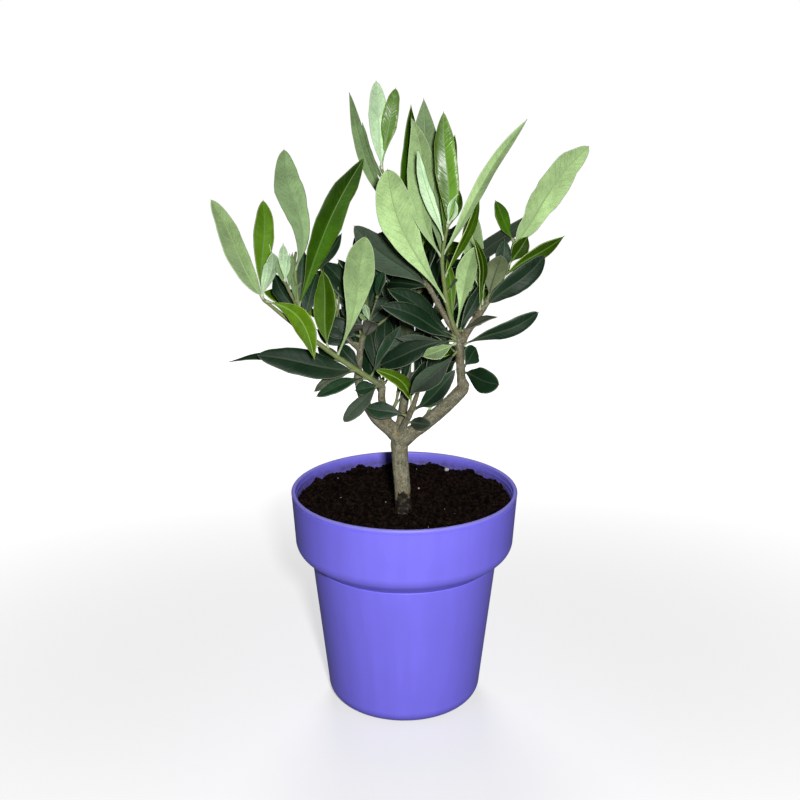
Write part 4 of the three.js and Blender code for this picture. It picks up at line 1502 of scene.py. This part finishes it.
def soil_height(x, y):
    """Height of the soil's surface: clods, a rise round the trunk and a ragged edge at the wall."""
    flat = np.stack([x, y, 0 * x], axis=-1).reshape(-1, 3)
    clods = CLODS["height"] * ripples(flat, CLODS["size"], 4).reshape(x.shape)
    lumps = LUMPS["height"] * ripples(flat + 40, LUMPS["size"], 2).reshape(x.shape)
    foot = stems["trunk"].line[0]
    off_trunk = np.hypot(x - foot[0], y - foot[1])
    rise = TRUNK_RISE["height"] * np.exp(-((off_trunk / TRUNK_RISE["reach"]) ** 2))
    rim = np.clip((np.hypot(x, y) - RAGGED_EDGE["from"]) / RAGGED_EDGE["over"], 0, 1) ** 2
    ragged = np.clip(ripples(flat * 0.5 + 90, RAGGED_EDGE["size"], 3).reshape(x.shape), -0.5, 1)
    return SOIL_TOP - 0.6 + clods + lumps + rise + rim * (0.4 + RAGGED_EDGE["height"] * ragged)


def make_soil():
    """The body of soil that fills the pot, from its floor to the uneven top."""
    angles = np.linspace(0, 2 * np.pi, SOIL_SIDES, endpoint=False)
    radii = np.linspace(1, 0.01, SOIL_RINGS) * (inner_wall(SOIL_TOP) - 0.05)
    x, y = np.outer(radii, np.cos(angles)), np.outer(radii, np.sin(angles))
    top = np.stack([x, y, soil_height(x, y)], axis=-1)
    bottom = POT["floor"] + 0.4
    crease, band_low = POT["height"] - POT["crease_depth"], POT["height"] - POT["band_depth"]
    sides = spun(np.array([
        [0.6, bottom], [28, bottom], [POT["foot_radius"] - 4.2, bottom + 6],
        [POT["crease_radius"] - POT["wall"] - 0.2, crease],
        [POT["band_radius"] - POT["wall"] - 0.6, band_low],
        [inner_wall(SOIL_TOP) - 0.2, SOIL_TOP - 4.5],
    ]), SOIL_SIDES)
    damp = soil_finish(
        "damp potting soil", (0.0014, 0.0008, 0.0006), (0.009, 0.0048, 0.0033), (0.03, 0.02, 0.014)
    )
    return piece_of("soil_bed", mesh_of("soil_bed", *skin(np.concatenate([sides, top]))), [damp])


# ---------------------------------------------------------------- strewn lumps


def build_strewer():
    """Geometry nodes that strew small uneven lumps over the surface that they are given."""
    tree = bpy.data.node_groups.new("strew lumps", "GeometryNodeTree")
    labels = {
        "Surface": "Geometry", "Lumps Per Square Metre": "Float", "Smallest": "Float", "Largest": "Float",
        "Stretch": "Vector", "Unevenness": "Float", "Seed": "Int", "Finish": "Material",
    }
    for label, kind in labels.items():
        tree.interface.new_socket(label, in_out="INPUT", socket_type="NodeSocket" + kind)
    tree.interface.new_socket("Lumps", in_out="OUTPUT", socket_type="NodeSocketGeometry")
    start = tree.nodes.new("NodeGroupInput")
    given = {label: Signal(start, label) for label in labels}

    def dealt(low, high, kind="FLOAT_VECTOR", first=0):
        inputs = {first: low, first + 1: high, "Seed": given["Seed"]}
        return Signal(put(tree, "FunctionNodeRandomValue", inputs, data_type=kind), first // 2)

    here = Signal(put(tree, "GeometryNodeInputNamedAttribute", {"Name": "strewn"}, data_type="FLOAT"))
    spots = put(tree, "GeometryNodeDistributePointsOnFaces", {
        "Mesh": given["Surface"], "Density": here * given["Lumps Per Square Metre"], "Seed": given["Seed"],
    })
    sizes = dealt(given["Smallest"], given["Largest"], "FLOAT", 2)
    shapes = dealt((0.6, 0.6, 0.6), (1.3, 1.3, 1.3))
    spins = dealt((-0.5, -0.5, 0.0), (0.5, 0.5, math.tau))
    lump = put(tree, "GeometryNodeMeshIcoSphere", {"Radius": 1.0, "Subdivisions": 1})
    wobble = Signal(put(tree, "ShaderNodeTexNoise", {"Scale": 1400.0, "Detail": 1.0}), "Color")
    wobble = (wobble + (-0.5, -0.5, -0.5)) * given["Unevenness"]
    made = Signal(put(tree, "GeometryNodeInstanceOnPoints", {
        "Points": Signal(spots, "Points"), "Instance": Signal(lump, "Mesh"),
        "Rotation": Signal(spots, "Rotation"), "Scale": shapes * given["Stretch"] * sizes,
    }))
    made = Signal(put(tree, "GeometryNodeRotateInstances", {"Instances": made, "Rotation": spins}))
    made = Signal(put(tree, "GeometryNodeRealizeInstances", {"Geometry": made}))
    made = Signal(put(tree, "GeometryNodeSetPosition", {"Geometry": made, "Offset": wobble}))
    made = Signal(put(tree, "GeometryNodeSetMaterial", {"Geometry": made, "Material": given["Finish"]}))
    put(tree, "NodeGroupOutput", {"Lumps": made})
    return tree


# sizes in millimetres
STREWN = {
    "soil_crumbs": {
        "lumps_per_square_metre": 400000.0, "smallest": 0.3, "largest": 1.35, "stretch": (1.0, 1.0, 0.8),
        "unevenness": 0.5, "seed": 11,
    },
    "soil_fibres": {
        "lumps_per_square_metre": 42000.0, "smallest": 0.7, "largest": 2.1, "stretch": (1.3, 0.16, 0.14),
        "unevenness": 0.3, "seed": 12,
    },
    "bark_spots": {
        "lumps_per_square_metre": 60000.0, "smallest": 0.16, "largest": 0.42, "stretch": (1.0, 1.0, 0.4),
        "unevenness": 0.1, "seed": 21,
    },
    "stuck_crumbs": {
        "lumps_per_square_metre": 500000.0, "smallest": 0.25, "largest": 0.7, "stretch": (1.0, 1.0, 0.7),
        "unevenness": 0.4, "seed": 22,
    },
}
strewer = build_strewer()
EDGE_OF_SOIL = 53  # farther out than this the crumbs lie closer
CORK_ABOVE = 14  # how high above the soil the corky spots begin
CRUMBS_BELOW = 7  # how high above the soil the last crumbs stick to the trunk


def strewn(name, surface, where, material):
    """A piece of lumps strewn over a surface, as thickly as where says for each of its points."""
    piece = piece_of(name, surface.data.copy())
    write_attribute(piece.data, "strewn", where)
    modifier = piece.modifiers.new("strew", "NODES")
    modifier.node_group = strewer
    amounts = STREWN[name] | {"finish": material}
    for key in ("smallest", "largest", "unevenness"):
        amounts[key] *= MM
    for socket in strewer.interface.items_tree:
        key = socket.name.lower().replace(" ", "_")
        if socket.in_out == "INPUT" and key in amounts:
            modifier[socket.identifier] = amounts[key]
    apply_modifiers(piece)
    piece.data.name = name
    return piece


def strew_soil(soil):
    """Crumbs and root fibres over the top of the soil, closer at its edge."""
    places, normals = places_of(soil.data), normals_of(soil.data)
    top = ((places[:, 2] > SOIL_TOP - 3.2) & (normals[:, 2] > 0.1)).astype(float)
    top *= 1 + 1.2 * (np.hypot(places[:, 0], places[:, 1]) > EDGE_OF_SOIL)
    crumb = soil_finish("soil crumbs", (0.0016, 0.001, 0.0008), (0.016, 0.009, 0.006), (0.06, 0.042, 0.03))
    fibre = soil_finish("soil fibres", (0.006, 0.0038, 0.0024), (0.034, 0.021, 0.013), (0.09, 0.064, 0.042))
    return strewn("soil_crumbs", soil, top, crumb), strewn("soil_fibres", soil, top, fibre)


def strew_bark(bark):
    """Small corky spots on the older wood, and crumbs that stick to the trunk's stained foot."""
    above = places_of(bark.data)[:, 2] - SOIL_TOP
    green, stain = (numbers_of(bark.data.attributes[name].data, "value") for name in ("green", "stain"))
    cork = finish("corky bark spot", Base_Color=(0.33, 0.31, 0.23, 1.0), Roughness=0.8)
    stuck = np.clip(1 - above / CRUMBS_BELOW, 0, 1) * (above > -1) * (stain > 0)
    return (
        strewn("bark_spots", bark, (green < 0.2) * (above > CORK_ABOVE), cork),
        strewn("stuck_crumbs", bark, stuck, finishes["soil crumbs"]),
    )


# places and sizes of the pale grains that lie in view
PALE_GRAINS = ((24.5, 47.5, 1.25), (8, 14.5, 0.5), (-34, 2, 0.3), (26, -19.5, 0.2), (-37, 31, 0.25))
STRAY_GRAINS = 4
STRAY_REACH = 52
STRAY_SIZES = (0.15, 0.25)


def make_grains():
    """Pale grains in the soil: a few that lie in view, and some stray ones."""
    rng = dice("grains")
    spots = list(PALE_GRAINS)
    for _ in range(STRAY_GRAINS):
        out, turn = STRAY_REACH * math.sqrt(rng.uniform(0.02, 1)), rng.uniform(0, 2 * np.pi)
        spots.append((out * math.cos(turn), out * math.sin(turn), rng.uniform(*STRAY_SIZES)))
    parts = []
    climb = np.linspace(-0.98, 0.98, 10)
    unit_ball = spun(np.stack([np.sqrt(1 - climb**2), climb], axis=1), 14)
    for x, y, size in spots:
        bumps = ripples(unit_ball.reshape(-1, 3) + [x, y, 0], 0.9, 2).reshape(unit_ball.shape[:2])
        ball = unit_ball * (1 + 0.35 * bumps)[..., None] * (size * rng.uniform(0.75, 1.15, 3))
        level = float(soil_height(np.array([x]), np.array([y]))[0]) + 0.75
        parts.append(skin(ball + [x, y, level + size * 0.35]))
    return piece_of("pale_grains", mesh_of("pale_grains", *joined(parts)), [
        finish("pale mineral grain", Base_Color=(0.46, 0.45, 0.41, 1.0), Roughness=0.85),
    ])


# ---------------------------------------------------------------- build


def hand_in(piece, nodes=()):
    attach(piece, "root")
    if nodes:
        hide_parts(*nodes)


sprays = all_sprays()
for leaves in sprays.values():
    for leaf in leaves:
        stems[leaf.stem].nodes.append(leaf.at)
for mass, leaves in sprays.items():
    hand_in(make_spray(mass, leaves), [mass])

green_members = [stems[name] for name in (*GREEN_LIMBS, "left_twig")]
bark_members = [stem for stem in stems.values() if stem not in green_members]
bark = make_stems("bark", bark_members, voxel=0.45, relief=0.2)
shoots = make_stems("green_shoots", green_members, voxel=0.34, relief=0.1)
hand_in(bark, [name for name in PARENTS if name not in GREEN_LIMBS])
hand_in(shoots, list(GREEN_LIMBS))

hand_in(make_pot(), ["pot"])
soil = make_soil()
hand_in(soil, ["soil"])
crumbs, fibres = strew_soil(soil)
spots, stuck = strew_bark(bark)
hand_in(spots)
for piece in (crumbs, fibres, stuck, make_grains()):
    hand_in(piece)


# ---------------------------------------------------------------- stage, light and camera

MIDDLE = Vector((0.0, 0.0, 0.17))
FLOOR_GLOW = 0.5  # how bright the floor looks beside the pot with no light on it
FLOOR_BOUNCE = 0.22  # share of the light that the floor gives back to the plant
FLOOR_HALF_WIDTH = 20000
ROOM_LIGHT = 0.045
WHITE = (1.0, 1.0, 1.0, 1.0)
KEY_WATTS = 4.8
BACK_WATTS = 3.2


def area_lamp(name, place, size, watts):
    """A round lamp that shines at the middle of the plant."""
    lamp = bpy.data.lights.new(name, "AREA")
    lamp.shape, lamp.size, lamp.energy = "DISK", size, watts
    place = Vector(place)
    turn = (MIDDLE - place).to_track_quat("-Z", "Y").to_matrix().to_4x4()
    holder = piece_of(name, lamp)
    holder.matrix_world = Matrix.Translation(place) @ turn
    return holder


def floor_finish():
    """White paper that takes soft shadows round the pot and is evenly bright farther off."""
    material = finish("white floor", Roughness=0.9, Emission_Color=WHITE)
    tree = material.node_tree
    shader = tree.nodes["Principled BSDF"]
    place = Signal(put(tree, "ShaderNodeTexCoord"), "Object")
    far = Signal(put(tree, "ShaderNodeVectorMath", {0: place}, operation="LENGTH"), "Value")
    seen = Signal(put(tree, "ShaderNodeLightPath"), "Is Camera Ray")
    paper = mixed(seen, rgba([FLOOR_BOUNCE] * 3), (0.5, 0.5, 0.5, 1.0))
    glow = ramped(far, 0.12, 0.65, FLOOR_GLOW, 1.0) * seen
    tree.links.new(paper.socket, shader.inputs["Base Color"])
    tree.links.new(glow.socket, shader.inputs["Emission Strength"])
    return material


def set_stage():
    corners = np.array([[-1, -1, 0], [1, -1, 0], [1, 1, 0], [-1, 1, 0]]) * FLOOR_HALF_WIDTH
    sheet = mesh_of("floor", corners, np.array([[0, 1, 2, 3]]), smooth=False)
    piece_of("floor", sheet, [floor_finish()])


def set_world():
    """A room that looks white but gives little light."""
    world = bpy.data.worlds.new("soft white room")
    world.use_nodes = True
    tree = world.node_tree
    tree.nodes.clear()
    path = Signal(put(tree, "ShaderNodeLightPath"), "Is Camera Ray")
    felt, seen = (
        Signal(put(tree, "ShaderNodeBackground", {"Color": WHITE, "Strength": strength}))
        for strength in (ROOM_LIGHT, 1.0)
    )
    both = put(tree, "ShaderNodeMixShader", {0: path, 1: felt, 2: seen})
    put(tree, "ShaderNodeOutputWorld", {"Surface": Signal(both)})
    bpy.context.scene.world = world


def set_camera():
    """The camera stands at the eye and looks down at the plant."""
    lens = bpy.data.cameras.new("camera")
    lens.lens = LENS
    camera = piece_of("camera", lens)
    tilt = Matrix.Rotation(math.radians(90 - LOOK_DOWN), 4, "X")
    camera.matrix_world = Matrix.Translation(Vector(EYE * MM)) @ tilt
    bpy.context.scene.camera = camera


set_stage()
set_world()
area_lamp("key", (0.045, -0.63, 0.385), 0.05, KEY_WATTS)
area_lamp("back", (-0.05, 0.62, 0.56), 0.35, BACK_WATTS).visible_glossy = False
set_camera()
bpy.context.scene.view_settings.view_transform = "Standard"
